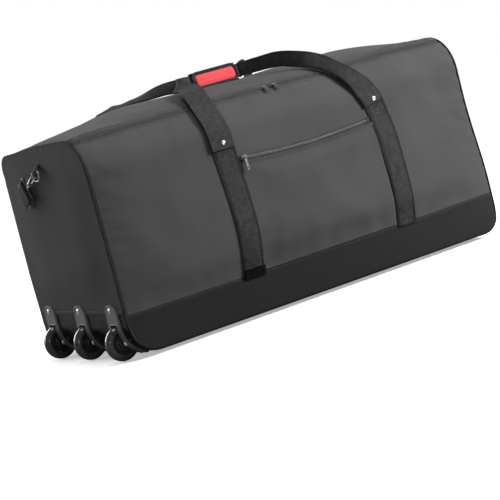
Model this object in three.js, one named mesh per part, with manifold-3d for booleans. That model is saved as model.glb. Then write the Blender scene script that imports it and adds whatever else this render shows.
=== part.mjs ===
// Rolling duffel bag: a soft rectangular bag with three corner wheels at its -X end.
// Millimetres, +Z up. The origin is on the underside of the flat base, midway between the end
// seams; X runs along the bag's length, -Y is the front with the pocket.
import * as THREE from 'three';
import { mergeVertices } from 'three/addons/utils/BufferGeometryUtils.js';
import Module from 'manifold-3d';

const wasm = await Module();
wasm.setup();

// ---- driving dimensions ----
const HALF_LENGTH = 455;        // end seams
const HALF_DEPTH = 187;         // front and back seams, at the ends
const BACK_SPREAD = 16;         // the back leans out this far at its foot
const HEIGHT = 431;             // top of the end panels
const TOP_RADIUS = 75;          // rounded long edges at the top
const SIDE_PUFF = 22;           // how far the filled front and back bow out
const TOP_CROWN = 24;           // how far the filled top rises
const CROWN_DIP = 9;            // the top sinks under the grip
const DIP_X = -35;
const DIP_REACH = 120;
const CLOTH = 3;                // wall of a fabric panel
const GAP = 0.4;                // clearance between pieces that meet edge to edge
const LAYER_GAP = 1.1;          // clearance between sheets that lie on each other's curve

const WHEEL_CORNER = 58;        // radius of the lower corner at the wheel end
const PLAIN_CORNER = 42;        // radius of the lower corner at the handle end
const PATCH_TOP = 91;           // seam between the wheel end panel and the corner patch
const PATCH_END_X = -388;       // where the corner patch ends under the bag
const BAND_TOP = 81;            // top of the base band
const PLAIN_BAND_TOP = 82;      // the same on the handle end

const ZIP_WIDTH = 11;
const ZIP_ANGLE = THREE.MathUtils.degToRad(60);   // place of the main zip on the rounded edge
const WEBBING = 52;             // carry strap width
const WEBBING_THICK = 3;
const STRAP_LEFT_X = -166;
const STRAP_RIGHT_X = 215;
const STRAP_RIGHT_LEAN = 12;    // the right strap leans left towards its top
const BACK_STRAP_LEFT_X = -212;
const STRAP_FOOT_Z = 76;
const STRAP_RIVET_Z = 345;
const STRAP_SEWN_Z = 352;       // the straps are free above this height
const POCKET_TOP_Z = 301;

const WHEEL_RADIUS = 35.5;
const WHEEL_WIDTH = 22;
const WHEEL_X = -451;
const WHEEL_Z = 28;             // the wheels reach a little below the base
const WHEEL_SPACING = 141;
const WHEEL_MIDDLE_Y = 8;
const HUB_RADIUS = 21;
const AXLE_RADIUS = 4;
const AXLE_BORE = 4.5;
const CAVITY_RADIUS = 39;
const CAVITY_HALF = 13;
const CUP_WALL = 2.2;
const PLATE_HALF = 26.5;
const PLATE_THICK = 3.5;
const PLATE_TOP_Z = 105;
const PLATE_END_ANGLE = THREE.MathUtils.degToRad(83);
const LUG_HALF = 17;
const LUG_RADIUS = 9;
const HEAD_BORE = 7.2;          // clearance round the axle's head and nut
const HEAD_HALF = 24;

const GRIP_START_X = -85;
const GRIP_END_X = 23;
const GRIP_Y = -6;
const GRIP_Z = 468.5;
const GRIP_TILT = THREE.MathUtils.degToRad(78);   // the grip leans back on the bag's top
const GRIP_HALF = 18.5;
const GRIP_EDGE = 15.5;           // inside of the wrap, past the folded webbing
const GRIP_WEBBING = 28;        // the webbing is folded narrower in the grip
const GRIP_THICK = 6.8;

const CLIP_Y = 16;              // shoulder strap clip on the wheel end panel
const CLIP_Z = 379;
const CLIP_LEAN = THREE.MathUtils.degToRad(62);   // how far the clip lies over from hanging straight

// ---- colours and finishes ----
const LOOKS = {
  cloth: [0x4a4a4b, 0.85, 0],
  end_cloth: [0x3a3a3b, 0.85, 0],
  band: [0x232324, 0.8, 0],
  patch: [0x151b21, 0.35, 0],
  webbing: [0x2a2a2c, 0.8, 0],
  piping: [0x1e1e20, 0.7, 0],
  zip: [0x303033, 0.5, 0],
  board: [0x161616, 0.6, 0],
  plate: [0x5a5b5e, 0.5, 0.1],
  steel: [0xb8bcc2, 0.25, 1],
  dark_metal: [0x4c4f54, 0.3, 0.9],
  tyre: [0x101011, 0.25, 0],
  hub: [0x1a1a1b, 0.35, 0],
  red: [0xf0444c, 0.8, 0],
};

const bag = new THREE.Group();

function add(name, look, geometry, parent = bag) {
  const [color, roughness, metalness] = LOOKS[look];
  const mesh = new THREE.Mesh(geometry, new THREE.MeshStandardMaterial({ color, roughness, metalness }));
  mesh.name = name;
  parent.add(mesh);
  return mesh;
}

// ---- solids from rings of points ----
const at = (x, y, z) => new THREE.Vector3(x, y, z);

function signedVolume(points, triangles) {
  let six = 0;
  for (let i = 0; i < triangles.length; i += 3) {
    const [a, b, c] = [0, 1, 2].map((k) => points[triangles[i + k]]);
    six += a.dot(b.clone().cross(c));
  }
  return six / 6;
}

// Joins rings that each hold the same even number of points; the ends are closed unless looped.
function loft(rings, looped = false) {
  const count = rings[0].length;
  const points = rings.flat();
  const triangles = [];
  const quad = (a, b, c, d) => triangles.push(a, b, c, a, c, d);
  const last = looped ? rings.length : rings.length - 1;
  for (let i = 0; i < last; i += 1) {
    const here = i * count;
    const next = ((i + 1) % rings.length) * count;
    for (let k = 0; k < count; k += 1) {
      const after = (k + 1) % count;
      quad(here + k, here + after, next + after, next + k);
    }
  }
  if (!looped) {
    const end = (rings.length - 1) * count;
    for (let k = 0; k < count / 2 - 1; k += 1) {
      quad(k, count - 1 - k, count - 2 - k, k + 1);
      quad(end + k, end + k + 1, end + count - 2 - k, end + count - 1 - k);
    }
  }
  if (signedVolume(points, triangles) < 0) triangles.reverse();
  const geometry = new THREE.BufferGeometry();
  const flat = points.flatMap((p) => [p.x, p.y, p.z]);
  geometry.setAttribute('position', new THREE.Float32BufferAttribute(flat, 3));
  geometry.setIndex(triangles);
  return geometry;
}

// A sheet: outer(u, v) gives the outer face and inner(u, v) the face behind it.
function sheet(us, vs, outer, inner) {
  return loft(us.map((u) => [
    ...vs.map((v) => outer(u, v)),
    ...[...vs].reverse().map((v) => inner(u, v)),
  ]));
}

// A flat strap through stations of [centre, direction of its width, width].
function ribbon(stations, thick = WEBBING_THICK) {
  const centres = stations.map(([centre]) => centre);
  return loft(stations.map(([centre, across, width], i) => {
    const before = centres[Math.max(i - 1, 0)];
    const after = centres[Math.min(i + 1, centres.length - 1)];
    const along = after.clone().sub(before).normalize();
    const side = across.clone().addScaledVector(along, -across.dot(along)).normalize();
    const out = along.clone().cross(side).multiplyScalar(thick / 2);
    const half = side.multiplyScalar(width / 2);
    return [
      centre.clone().sub(half).add(out), centre.clone().add(half).add(out),
      centre.clone().add(half).sub(out), centre.clone().sub(half).sub(out),
    ];
  }));
}

// A round cord through points, with an even number of sides.
function cord(points, radius, sides = 6, looped = false) {
  const path = new THREE.CatmullRomCurve3(points, looped, 'centripetal');
  const steps = points.length - (looped ? 0 : 1);
  const frames = path.computeFrenetFrames(steps, looped);
  const rings = [];
  for (let i = 0; i <= (looped ? steps - 1 : steps); i += 1) {
    const centre = path.getPoint(i / steps);
    rings.push(Array.from({ length: sides }, (_, k) => {
      const turn = (k / sides) * Math.PI * 2;
      return centre.clone()
        .addScaledVector(frames.normals[i], radius * Math.cos(turn))
        .addScaledVector(frames.binormals[i], radius * Math.sin(turn));
    }));
  }
  return loft(rings, looped);
}

// ---- joins and cuts ----
function toSolid(geometry) {
  const plain = geometry.clone();
  plain.deleteAttribute('normal');
  plain.deleteAttribute('uv');
  const merged = mergeVertices(plain, 1e-4);
  return new wasm.Manifold(new wasm.Mesh({
    numProp: 3,
    vertProperties: new Float32Array(merged.attributes.position.array),
    triVerts: new Uint32Array(merged.index.array),
  }));
}

function toGeometry(solid) {
  const mesh = solid.getMesh();
  const geometry = new THREE.BufferGeometry();
  geometry.setAttribute('position', new THREE.Float32BufferAttribute(mesh.vertProperties, 3));
  geometry.setIndex([...mesh.triVerts]);
  return geometry;
}

const move = (geometry, x, y, z) => geometry.clone().translate(x, y, z);
const alongY = (radius, length, sides = 32) => new THREE.CylinderGeometry(radius, radius, length, sides);

// ---- the bag's outer surface ----
const range = (start, end, steps) => (
  Array.from({ length: steps + 1 }, (_, i) => start + ((end - start) * i) / steps)
);
const SIDE_RUN = HEIGHT - TOP_RADIUS;
const ARC_RUN = (TOP_RADIUS * Math.PI) / 2;
const TOP_RUN = 2 * (HALF_DEPTH - TOP_RADIUS);
const SECTION_RUN = 2 * SIDE_RUN + 2 * ARC_RUN + TOP_RUN;

// Plain section: from the front's foot, up, over the top and down the back.
function plainSection(run) {
  const flip = run > SECTION_RUN / 2;
  const s = flip ? SECTION_RUN - run : run;
  let y = -HALF_DEPTH;
  let z = s;
  if (s > SIDE_RUN + ARC_RUN) {
    y = -(HALF_DEPTH - TOP_RADIUS) + (s - SIDE_RUN - ARC_RUN);
    z = HEIGHT;
  } else if (s > SIDE_RUN) {
    const turn = (s - SIDE_RUN) / TOP_RADIUS;
    y = -(HALF_DEPTH - TOP_RADIUS) - TOP_RADIUS * Math.cos(turn);
    z = SIDE_RUN + TOP_RADIUS * Math.sin(turn);
  }
  return [flip ? -y : y, z];
}

const spread = (z) => BACK_SPREAD * (1 - z / HEIGHT);
const fullness = (x) => 1 - Math.abs(x / HALF_LENGTH) ** 3;

function bagPoint(x, run) {
  const [y, z] = plainSection(run);
  const inward = Math.cos((Math.PI * y) / (2 * HALF_DEPTH)) ** 2;
  const dip = CROWN_DIP * Math.exp(-(((x - DIP_X) / DIP_REACH) ** 2)) * inward;
  const side = 1 + (SIDE_PUFF / HALF_DEPTH) * fullness(x) * Math.sin((Math.PI * z) / HEIGHT);
  const rise = 1 + (fullness(x) * (TOP_CROWN - dip) * inward) / HEIGHT;
  return at(x, y * side + (y > 0 ? spread(z) : 0), z * rise);
}

// The same point moved out along the section's normal.
function bagOffset(x, run, out) {
  const step = 2;
  const before = bagPoint(x, Math.max(run - step, 0));
  const after = bagPoint(x, Math.min(run + step, SECTION_RUN));
  const along = after.sub(before).normalize();
  return bagPoint(x, run).add(at(0, -along.z * out, along.y * out));
}

function bagSheet(xs, runs, inner, outer) {
  return sheet(xs, runs, (x, run) => bagOffset(x, run, outer), (x, run) => bagOffset(x, run, inner));
}

const ZIP_RUN = SIDE_RUN + TOP_RADIUS * ZIP_ANGLE;
const SEAM_X = HALF_LENGTH - CLOTH - GAP;
const bodyXs = range(-SEAM_X, SEAM_X, 12);

// ---- bag panels ----
function makePanels() {
  const zipHalf = ZIP_WIDTH / 2 + GAP;
  const frontRuns = [...range(BAND_TOP + GAP, SIDE_RUN, 6), ...range(SIDE_RUN, ZIP_RUN - zipHalf, 4).slice(1)];
  add('front_panel', 'cloth', bagSheet(bodyXs, frontRuns, -CLOTH, 0));
  const topEnd = SECTION_RUN - SIDE_RUN;
  const backRuns = [
    ...range(ZIP_RUN + zipHalf, SIDE_RUN + ARC_RUN, 2),
    ...range(SIDE_RUN + ARC_RUN, topEnd - ARC_RUN, 4).slice(1),
    ...range(topEnd - ARC_RUN, topEnd, 4).slice(1),
    ...range(topEnd, SECTION_RUN - BAND_TOP - GAP, 6).slice(1),
  ];
  add('back_panel', 'cloth', bagSheet(bodyXs, backRuns, -CLOTH, 0));
  const zipRuns = [ZIP_RUN - ZIP_WIDTH / 2, ZIP_RUN + ZIP_WIDTH / 2];
  add('main_zip_tape', 'zip', bagSheet(range(-432, 440, 12), zipRuns, -CLOTH + 1, 0));
}

// Lower edge of the front and back faces: flat, with a rounded corner at each end.
const CORNER_X = -HALF_LENGTH + WHEEL_CORNER;
const CORNER_Z = WHEEL_CORNER;
const PLAIN_X = HALF_LENGTH - PLAIN_CORNER;

function footZ(x) {
  if (x < CORNER_X) return CORNER_Z - Math.sqrt(WHEEL_CORNER ** 2 - (CORNER_X - x) ** 2);
  if (x > PLAIN_X) return PLAIN_CORNER - Math.sqrt(PLAIN_CORNER ** 2 - (x - PLAIN_X) ** 2);
  return 0;
}

function makeBand(name, back) {
  const xs = [
    ...range(-SEAM_X, CORNER_X, 6), ...range(CORNER_X, PLAIN_X, 9).slice(1),
    ...range(PLAIN_X, SEAM_X, 5).slice(1),
  ];
  const runAt = (x, v) => {
    const low = footZ(x) + GAP;
    const run = low + (BAND_TOP - low) * v;
    return back ? SECTION_RUN - run : run;
  };
  const outer = (x, v) => bagOffset(x, runAt(x, v), 0);
  const inner = (x, v) => bagOffset(x, runAt(x, v), -CLOTH);
  add(name, 'band', sheet(xs, [0, 0.5, 1], outer, inner));
}

// A strip across the bag's depth, through stations of [x, z, outward x, outward z].
function crossStrip(stations, inner, outer, margin) {
  const place = ([x, z, nx, nz], level, v) => {
    const low = margin - HALF_DEPTH;
    const high = HALF_DEPTH + spread(z) - margin;
    return at(x + nx * level, low + (high - low) * v, z + nz * level);
  };
  return sheet(stations, [0, 0.5, 1], (p, v) => place(p, outer, v), (p, v) => place(p, inner, v));
}

const cornerStation = (turn) => [
  CORNER_X - WHEEL_CORNER * Math.cos(turn), CORNER_Z - WHEEL_CORNER * Math.sin(turn),
  -Math.cos(turn), -Math.sin(turn),
];

function makeBase() {
  const margin = CLOTH + GAP;
  const flat = [[PATCH_END_X + GAP, 0, 0, -1], [PLAIN_X, 0, 0, -1]];
  const plainArc = range(0, Math.PI / 2, 5).slice(1).map((turn) => [
    PLAIN_X + PLAIN_CORNER * Math.sin(turn), PLAIN_CORNER * (1 - Math.cos(turn)),
    Math.sin(turn), -Math.cos(turn),
  ]);
  const lip = [[HALF_LENGTH, PLAIN_BAND_TOP - GAP, 1, 0]];
  add('base_panel', 'band', crossStrip([...flat, ...plainArc, ...lip], -CLOTH, 0, margin));

  const corner = [
    [-HALF_LENGTH, PATCH_TOP, -1, 0],
    ...range(0, Math.PI / 2, 8).map(cornerStation),
    [PATCH_END_X, 0, 0, -1],
  ];
  const patch = crossStrip(corner, -CLOTH, 0, margin);
  add('wheel_corner_patch', 'patch', cutCups(patch));

  const board = [
    [-HALF_LENGTH, PATCH_TOP + 20, -1, 0],
    ...range(0, Math.PI / 2, 6).map(cornerStation),
    [PLAIN_X - 6, 0, 0, -1],
  ];
  add('base_board', 'board', cutCups(crossStrip(board, -CLOTH - GAP - 3, -CLOTH - GAP, 12)));
}

// Slots through which the wheel cups reach into the bag.
function cutCups(geometry) {
  const cup = [CAVITY_RADIUS + CUP_WALL + GAP, 2 * (CAVITY_HALF + CUP_WALL + GAP)];
  const lugs = [LUG_RADIUS + GAP, 2 * HEAD_HALF];
  let solid = toSolid(geometry);
  for (const y of wheelYs) {
    for (const [radius, length] of [cup, lugs]) {
      solid = solid.subtract(toSolid(move(alongY(radius, length), WHEEL_X, y, WHEEL_Z)));
    }
  }
  return toGeometry(solid);
}

const wheelYs = [-1, 0, 1].map((step) => WHEEL_MIDDLE_Y + step * WHEEL_SPACING);

// ---- end panels and piping ----
function endPanel(name, x, lowZ, thick, look) {
  const runs = [lowZ, ...range(SIDE_RUN, SIDE_RUN + ARC_RUN, 5)];
  const rows = runs.map((run) => plainSection(run).map((value, axis) => (axis ? value : value + GAP)));
  add(name, look, loft(rows.map(([y, z]) => [
    at(x, y, z), at(x, spread(z) - y, z), at(x + thick, spread(z) - y, z), at(x + thick, y, z),
  ])));
}

function makeEnds() {
  endPanel('wheel_end_panel', -HALF_LENGTH, PATCH_TOP + GAP, CLOTH, 'end_cloth');
  endPanel('handle_end_panel', HALF_LENGTH, PLAIN_BAND_TOP, -CLOTH, 'end_cloth');
  const radius = 3;
  const out = radius + GAP + 0.2;
  const arch = [...range(100, SIDE_RUN, 3), ...range(SIDE_RUN, SIDE_RUN + ARC_RUN, 5).slice(1)];
  const pipe = (name, x, foot) => {
    const front = [
      ...foot.map(([px, pz]) => at(px, -HALF_DEPTH - out, pz)),
      ...arch.map((run) => bagOffset(x, run, out)),
    ];
    const back = [...front].reverse().map((p) => at(p.x, spread(p.z) - p.y, p.z));
    add(name, 'piping', cord([...front, ...back], radius));
  };
  const bend = (cx, cz, r, sign) => range(80, 5, 4).map((deg) => {
    const turn = THREE.MathUtils.degToRad(deg);
    return [cx + sign * r * Math.cos(turn), cz - r * Math.sin(turn)];
  });
  pipe('wheel_end_piping', -HALF_LENGTH + 2, bend(CORNER_X, CORNER_Z, WHEEL_CORNER - 3, -1));
  pipe('handle_end_piping', HALF_LENGTH - 2, bend(PLAIN_X, PLAIN_CORNER, PLAIN_CORNER - 3, 1));
}

// ---- pocket ----
function makePocket() {
  const left = STRAP_LEFT_X + WEBBING / 2 + GAP;
  const right = STRAP_RIGHT_X - lean('right', POCKET_TOP_Z + 10) - WEBBING / 2 - GAP;
  const xs = range(left, right, 4);
  const low = BAND_TOP + 2;
  add('front_pocket_panel', 'cloth', bagSheet(xs, range(low, POCKET_TOP_Z, 5), LAYER_GAP, LAYER_GAP + 2));
  const zip = [POCKET_TOP_Z + GAP, POCKET_TOP_Z + 10];
  add('pocket_zip_tape', 'zip', bagSheet(xs, zip, LAYER_GAP, LAYER_GAP + 1.6));
}

// ---- sewn strap legs and rivets ----
const LEAN_FROM_Z = 230;
const lean = (side, z) => (
  side === 'right' ? STRAP_RIGHT_LEAN * (Math.max(z - LEAN_FROM_Z, 0) / (STRAP_SEWN_Z - LEAN_FROM_Z)) ** 2 : 0
);

function rivetOn(name, x, run, radius) {
  const head = new THREE.CylinderGeometry(radius * 0.6, radius, 2, 12);
  const place = bagOffset(x, run, LAYER_GAP + WEBBING_THICK + GAP + 1);
  const normal = bagOffset(x, run, 10).sub(bagPoint(x, run)).normalize();
  head.applyQuaternion(new THREE.Quaternion().setFromUnitVectors(at(0, 1, 0), normal));
  add(name, 'steel', move(head, place.x, place.y, place.z));
}

function makeStraps() {
  for (const [face, back] of [['front', false], ['back', true]]) {
    for (const [side, x] of [['left', back ? BACK_STRAP_LEFT_X : STRAP_LEFT_X], ['right', STRAP_RIGHT_X]]) {
      const runs = range(STRAP_FOOT_Z, STRAP_SEWN_Z, 6);
      const place = (run, across, out) => (
        bagOffset(x + across - lean(side, run), back ? SECTION_RUN - run : run, LAYER_GAP + out)
      );
      const outer = (run, across) => place(run, across, WEBBING_THICK);
      const inner = (run, across) => place(run, across, 0);
      add(`${face}_strap_${side}`, 'webbing', sheet(runs, [-WEBBING / 2, 0, WEBBING / 2], outer, inner));
    }
  }
  rivetOn('front_rivet_left', STRAP_LEFT_X + 1, STRAP_RIVET_Z, 5);
  rivetOn('front_rivet_right', STRAP_RIGHT_X - STRAP_RIGHT_LEAN + 1, STRAP_RIVET_Z, 5);
}

// ---- carry handles and grip ----
const gripAcross = at(0, Math.cos(GRIP_TILT), Math.sin(GRIP_TILT));
const gripOut = at(0, -Math.sin(GRIP_TILT), Math.cos(GRIP_TILT));
const gripPoint = (x, across, out) => (
  at(x, GRIP_Y, GRIP_Z).addScaledVector(gripAcross, across).addScaledVector(gripOut, out)
);

// One handle: up from the left strap, through the grip, over an arch and down to the right strap.
function makeHandle(name, side) {
  const inGrip = (x, apart = 1.9) => [gripPoint(x, 0, -side * apart), gripAcross, GRIP_WEBBING];
  const face = (x, run) => {
    const level = LAYER_GAP + WEBBING_THICK / 2 + 1.5 + Math.max(run - SIDE_RUN, 0) / 8;
    return [bagOffset(x, side < 0 ? run : SECTION_RUN - run, level), at(1, 0, 0), WEBBING];
  };
  const rise = (x, end, steps) => range(STRAP_SEWN_Z + 1, end, steps).map((run) => face(x, run));
  const free = (x, y, z, across, width) => (
    [at(x, side * y, z), at(across[0], side * across[1], across[2]), width]
  );
  const left = side < 0
    ? [...rise(STRAP_LEFT_X, SIDE_RUN + 48, 3),
      free(-160, 136, 449, [1, 0, 0.1], 48), free(-149, 98, 461, [0.95, 0, 0.15], 42),
      free(-147, 58, 469, [0.8, 0, 0.5], 35), free(-134, 25, 474, [0.3, -0.2, 0.8], 30)]
    : [...rise(BACK_STRAP_LEFT_X, SIDE_RUN + 20, 2),
      free(-222, 158, 449, [0.95, 0.2, 0.2], 46), free(-200, 122, 457, [0.95, 0.25, 0.2], 42),
      free(-178, 86, 462, [0.9, 0.3, 0.25], 38), free(-136, 26, 470, [0.5, 0.4, 0.7], 32)];
  const clear = side < 0 ? 1 : 0;   // the front strap stands clear of the zip pull that runs under it
  const right = [
    free(60, 36, 471, [0.2, 0, 1], 32), free(90, 70, 471, [0.25, 0, 1], 34),
    free(114, 106, 461 + clear, [0.4, 0, 0.95], 35),
    free(136, 139 + clear, 448 + 2 * clear, [0.8, 0, 0.6], 36),
    free(152 + clear, 170 + 3 * clear, 424 + 3 * clear, [0.85, 0, 0.53], 38),
    free(170 + clear, 193 + 2 * clear, 396 + 2 * clear, [0.88, 0, 0.45], 43),
    ...rise(STRAP_RIGHT_X - STRAP_RIGHT_LEAN, STRAP_SEWN_Z + 14, 1).reverse(),
  ];
  const middle = (GRIP_START_X + GRIP_END_X) / 2;
  add(name, 'webbing', ribbon([
    ...left, inGrip(GRIP_START_X - 10, 6), inGrip(GRIP_START_X - 2), inGrip(middle),
    inGrip(GRIP_END_X + 2), inGrip(GRIP_END_X + 10, 6), ...right,
  ]));
}

function makeGrip() {
  const inner = 4.2;
  const outer = GRIP_THICK;
  const edge = GRIP_EDGE;
  const channel = (x) => [
    gripPoint(x, GRIP_HALF, inner), gripPoint(x, GRIP_HALF, -outer), gripPoint(x, -GRIP_HALF, -outer),
    gripPoint(x, -GRIP_HALF, inner), gripPoint(x, -edge, inner), gripPoint(x, -edge, -inner),
    gripPoint(x, edge, -inner), gripPoint(x, edge, inner),
  ];
  add('grip_wrap', 'webbing', loft(range(GRIP_START_X, GRIP_END_X, 1).map(channel)));
  const flap = (x, half) => [
    gripPoint(x, half, inner + GAP), gripPoint(x, half, outer + 1),
    gripPoint(x, -half, outer + 1), gripPoint(x, -half, inner + GAP),
  ];
  const ends = [
    [GRIP_START_X, GRIP_HALF - 6], [GRIP_START_X + 8, GRIP_HALF],
    [GRIP_END_X - 8, GRIP_HALF], [GRIP_END_X, GRIP_HALF - 6],
  ];
  add('grip_flap', 'red', loft(ends.map(([x, half]) => flap(x, half))));
}

// ---- wheels ----
const halfTurn = Math.PI / 2;

// Plate outline in the side view: down the end face and round the corner.
function plateGeometry(y) {
  const inside = CORNER_X - WHEEL_CORNER - GAP;
  const radius = WHEEL_CORNER + GAP;
  const stations = [
    ...[0, 4, 10, 18, 26].map((down) => [inside, PLATE_TOP_Z - down, -1, 0]),
    ...range(0, PLATE_END_ANGLE, 10).map((turn) => {
      const [, , nx, nz] = cornerStation(turn);
      return [CORNER_X + nx * radius, CORNER_Z + nz * radius, nx, nz];
    }),
  ];
  const run = [0];
  for (let i = 1; i < stations.length; i += 1) {
    run.push(run[i - 1] + Math.hypot(stations[i][0] - stations[i - 1][0], stations[i][1] - stations[i - 1][1]));
  }
  const total = run[run.length - 1];
  return loft(stations.map(([x, z, nx, nz], i) => {
    const fromEnd = Math.min(run[i], total - run[i]) + 2;
    const round = Math.min(fromEnd, PLATE_HALF);
    const half = Math.sqrt(PLATE_HALF ** 2 - (PLATE_HALF - round) ** 2);
    const px = x + nx * PLATE_THICK;
    const pz = z + nz * PLATE_THICK;
    return [at(x, y - half, z), at(x, y + half, z), at(px, y + half, pz), at(px, y - half, pz)];
  }));
}

// Everything inside the corner's outer surface, for trimming the cup.
function cornerCore(y) {
  const outline = new THREE.Shape();
  outline.moveTo(-HALF_LENGTH - GAP - 1, PLATE_TOP_Z - 6);
  outline.lineTo(-HALF_LENGTH - GAP - 1, CORNER_Z);
  outline.absarc(CORNER_X, CORNER_Z, WHEEL_CORNER + GAP + 1, Math.PI, Math.PI * 1.5, false);
  outline.lineTo(CORNER_X + 60, PLATE_TOP_Z - 6);
  const core = new THREE.ExtrudeGeometry(outline, { depth: 60, bevelEnabled: false, curveSegments: 12 });
  return core.rotateX(halfTurn).translate(0, y + 30, 0);
}

function makeHousing(index, y) {
  const axle = (radius, length) => toSolid(move(alongY(radius, length), WHEEL_X, y, WHEEL_Z));
  const cup = axle(CAVITY_RADIUS + CUP_WALL, 2 * (CAVITY_HALF + CUP_WALL)).intersect(toSolid(cornerCore(y)));
  const shell = toSolid(plateGeometry(y)).subtract(axle(HEAD_BORE, 2 * HEAD_HALF))
    .add(cup).add(axle(LUG_RADIUS, 2 * LUG_HALF));
  const solid = shell.subtract(axle(CAVITY_RADIUS, 2 * CAVITY_HALF)).subtract(axle(AXLE_BORE, 60));
  add(`wheel_housing_${index}`, 'plate', toGeometry(solid));
}

function makeWheel(index, y) {
  const group = new THREE.Group();
  group.position.set(WHEEL_X, y, WHEEL_Z);
  bag.add(group);
  const half = WHEEL_WIDTH / 2;
  const tread = range(0, Math.PI, 8).map((turn) => (
    new THREE.Vector2(WHEEL_RADIUS - half + half * Math.sin(turn), -half * Math.cos(turn))
  ));
  const rim = [new THREE.Vector2(HUB_RADIUS + 0.4, half - 2), new THREE.Vector2(HUB_RADIUS + 0.4, 2 - half)];
  add(`tyre_${index}`, 'tyre', new THREE.LatheGeometry([...tread, ...rim, tread[0]], 32), group);
  const hub = [
    [AXLE_BORE, -half], [10, -half], [11, -5], [HUB_RADIUS - 3, -5], [HUB_RADIUS, -8],
    [HUB_RADIUS, 8], [HUB_RADIUS - 3, 5], [11, 5], [10, half], [AXLE_BORE, half], [AXLE_BORE, -half],
  ].map(([r, h]) => new THREE.Vector2(r, h));
  add(`hub_${index}`, 'hub', new THREE.LatheGeometry(hub, 24), group);
  const pin = [
    [0, -LUG_HALF - 4.4], [4.5, -LUG_HALF - 4.4], [6, -LUG_HALF - 2.8], [6, -LUG_HALF - GAP],
    [AXLE_RADIUS, -LUG_HALF - GAP], [AXLE_RADIUS, LUG_HALF], [0, LUG_HALF],
  ].map(([r, h]) => new THREE.Vector2(r, h));
  add(`axle_${index}`, 'steel', new THREE.LatheGeometry(pin, 16), group);
  const nut = [
    [0, LUG_HALF + GAP], [6.5, LUG_HALF + GAP], [6.5, LUG_HALF + 3.4], [4.5, LUG_HALF + 5.6], [0, LUG_HALF + 6.4],
  ].map(([r, h]) => new THREE.Vector2(r, h));
  add(`axle_nut_${index}`, 'steel', new THREE.LatheGeometry(nut, 6), group);
}

function makePlateRivets(index, y) {
  const head = new THREE.CylinderGeometry(3.6, 5.5, 2.4, 12);
  const upper = head.clone().rotateZ(halfTurn);
  const face = -HALF_LENGTH - GAP * 2 - PLATE_THICK - 1.2;
  add(`upper_rivet_${index}`, 'steel', move(upper, face, y, PLATE_TOP_Z - 11));
  const turn = PLATE_END_ANGLE - 11 / WHEEL_CORNER;
  const reach = WHEEL_CORNER + GAP * 2 + PLATE_THICK + 1.2;
  const lower = head.clone().rotateZ(halfTurn).rotateY(-turn);
  add(`lower_rivet_${index}`, 'steel', move(
    lower, CORNER_X - reach * Math.cos(turn), y, CORNER_Z - reach * Math.sin(turn),
  ));
}

// ---- zip sliders ----
// A slider body rides over the coil; its pull hangs from a pin on top.
function makeSlider(name, x, run, drop, level) {
  const base = bagPoint(x, run);
  const out = bagOffset(x, run, 10).sub(base).normalize();
  const up = out.clone().cross(at(1, 0, 0));
  const turned = new THREE.Matrix4().makeBasis(at(1, 0, 0), up, out);
  const place = (geometry, level) => (
    geometry.applyMatrix4(turned).translate(...base.clone().addScaledVector(out, level).toArray())
  );
  add(`${name}_slider`, 'dark_metal', place(new THREE.BoxGeometry(12, 10, 3), level + 2.2));
  const tab = new THREE.BoxGeometry(6, drop, 1.6).translate(0, -drop / 2, 0);
  add(`${name}_pull`, 'dark_metal', place(tab, level + 5));
}

// ---- shoulder strap clip on the wheel end panel ----
// Its flat pieces are drawn hanging straight down, then turned about the ring's centre.
const CLIP_X = -HALF_LENGTH - 10.5;
const RING_RADIUS = 18;
const RING_WIRE = 3;
const RING_BAR_Z = 1.5;

// Extrudes an outline of [sideways, up] evenly about the plane that faces the bag's length.
function facePlate(shape, thick) {
  const plate = new THREE.ExtrudeGeometry(shape, { depth: thick, bevelEnabled: false, curveSegments: 10 });
  return plate.translate(0, 0, -thick / 2).rotateX(halfTurn).rotateZ(-halfTurn);
}

function slot(low, high, half, bar) {
  const outline = (lowest, highest, width) => (
    [[-width, lowest], [width, lowest], [width, highest], [-width, highest]]
      .map(([across, up]) => new THREE.Vector2(across, up))
  );
  const shape = new THREE.Shape(outline(low, high, half));
  shape.holes.push(new THREE.Path(outline(low + bar, high - bar, half - bar)));
  return shape;
}

function ringShape() {
  const shape = new THREE.Shape();
  shape.moveTo(-RING_RADIUS, RING_BAR_Z + RING_WIRE / 2);
  shape.lineTo(-RING_RADIUS, 0);
  shape.absarc(0, 0, RING_RADIUS, Math.PI, Math.PI * 2, false);
  shape.lineTo(RING_RADIUS, RING_BAR_Z + RING_WIRE / 2);
  const hole = new THREE.Path();
  hole.moveTo(-RING_RADIUS + RING_WIRE, RING_BAR_Z - RING_WIRE / 2);
  hole.absarc(0, 0, RING_RADIUS - RING_WIRE, Math.PI, Math.PI * 2, false);
  shape.holes.push(hole);
  return shape;
}

// The hook is a flat C whose mouth the gate closes, over the neck that the eye swivels on.
function hookShape() {
  const shape = new THREE.Shape();
  shape.moveTo(-7.5, -3);
  shape.lineTo(-7.5, 0);
  shape.absarc(0, 0, 7.5, Math.PI, 0, true);
  shape.lineTo(7.5, -30);
  shape.lineTo(3, -36);
  shape.lineTo(3, -42);
  shape.lineTo(-3, -42);
  shape.lineTo(-3, -36);
  shape.lineTo(-7.5, -30);
  shape.lineTo(-7.5, -25.2);
  shape.lineTo(4, -25.2);
  shape.lineTo(4, 0);
  shape.absarc(0, 0, 4, 0, Math.PI, false);
  shape.lineTo(-4, -3);
  return shape;
}

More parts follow.
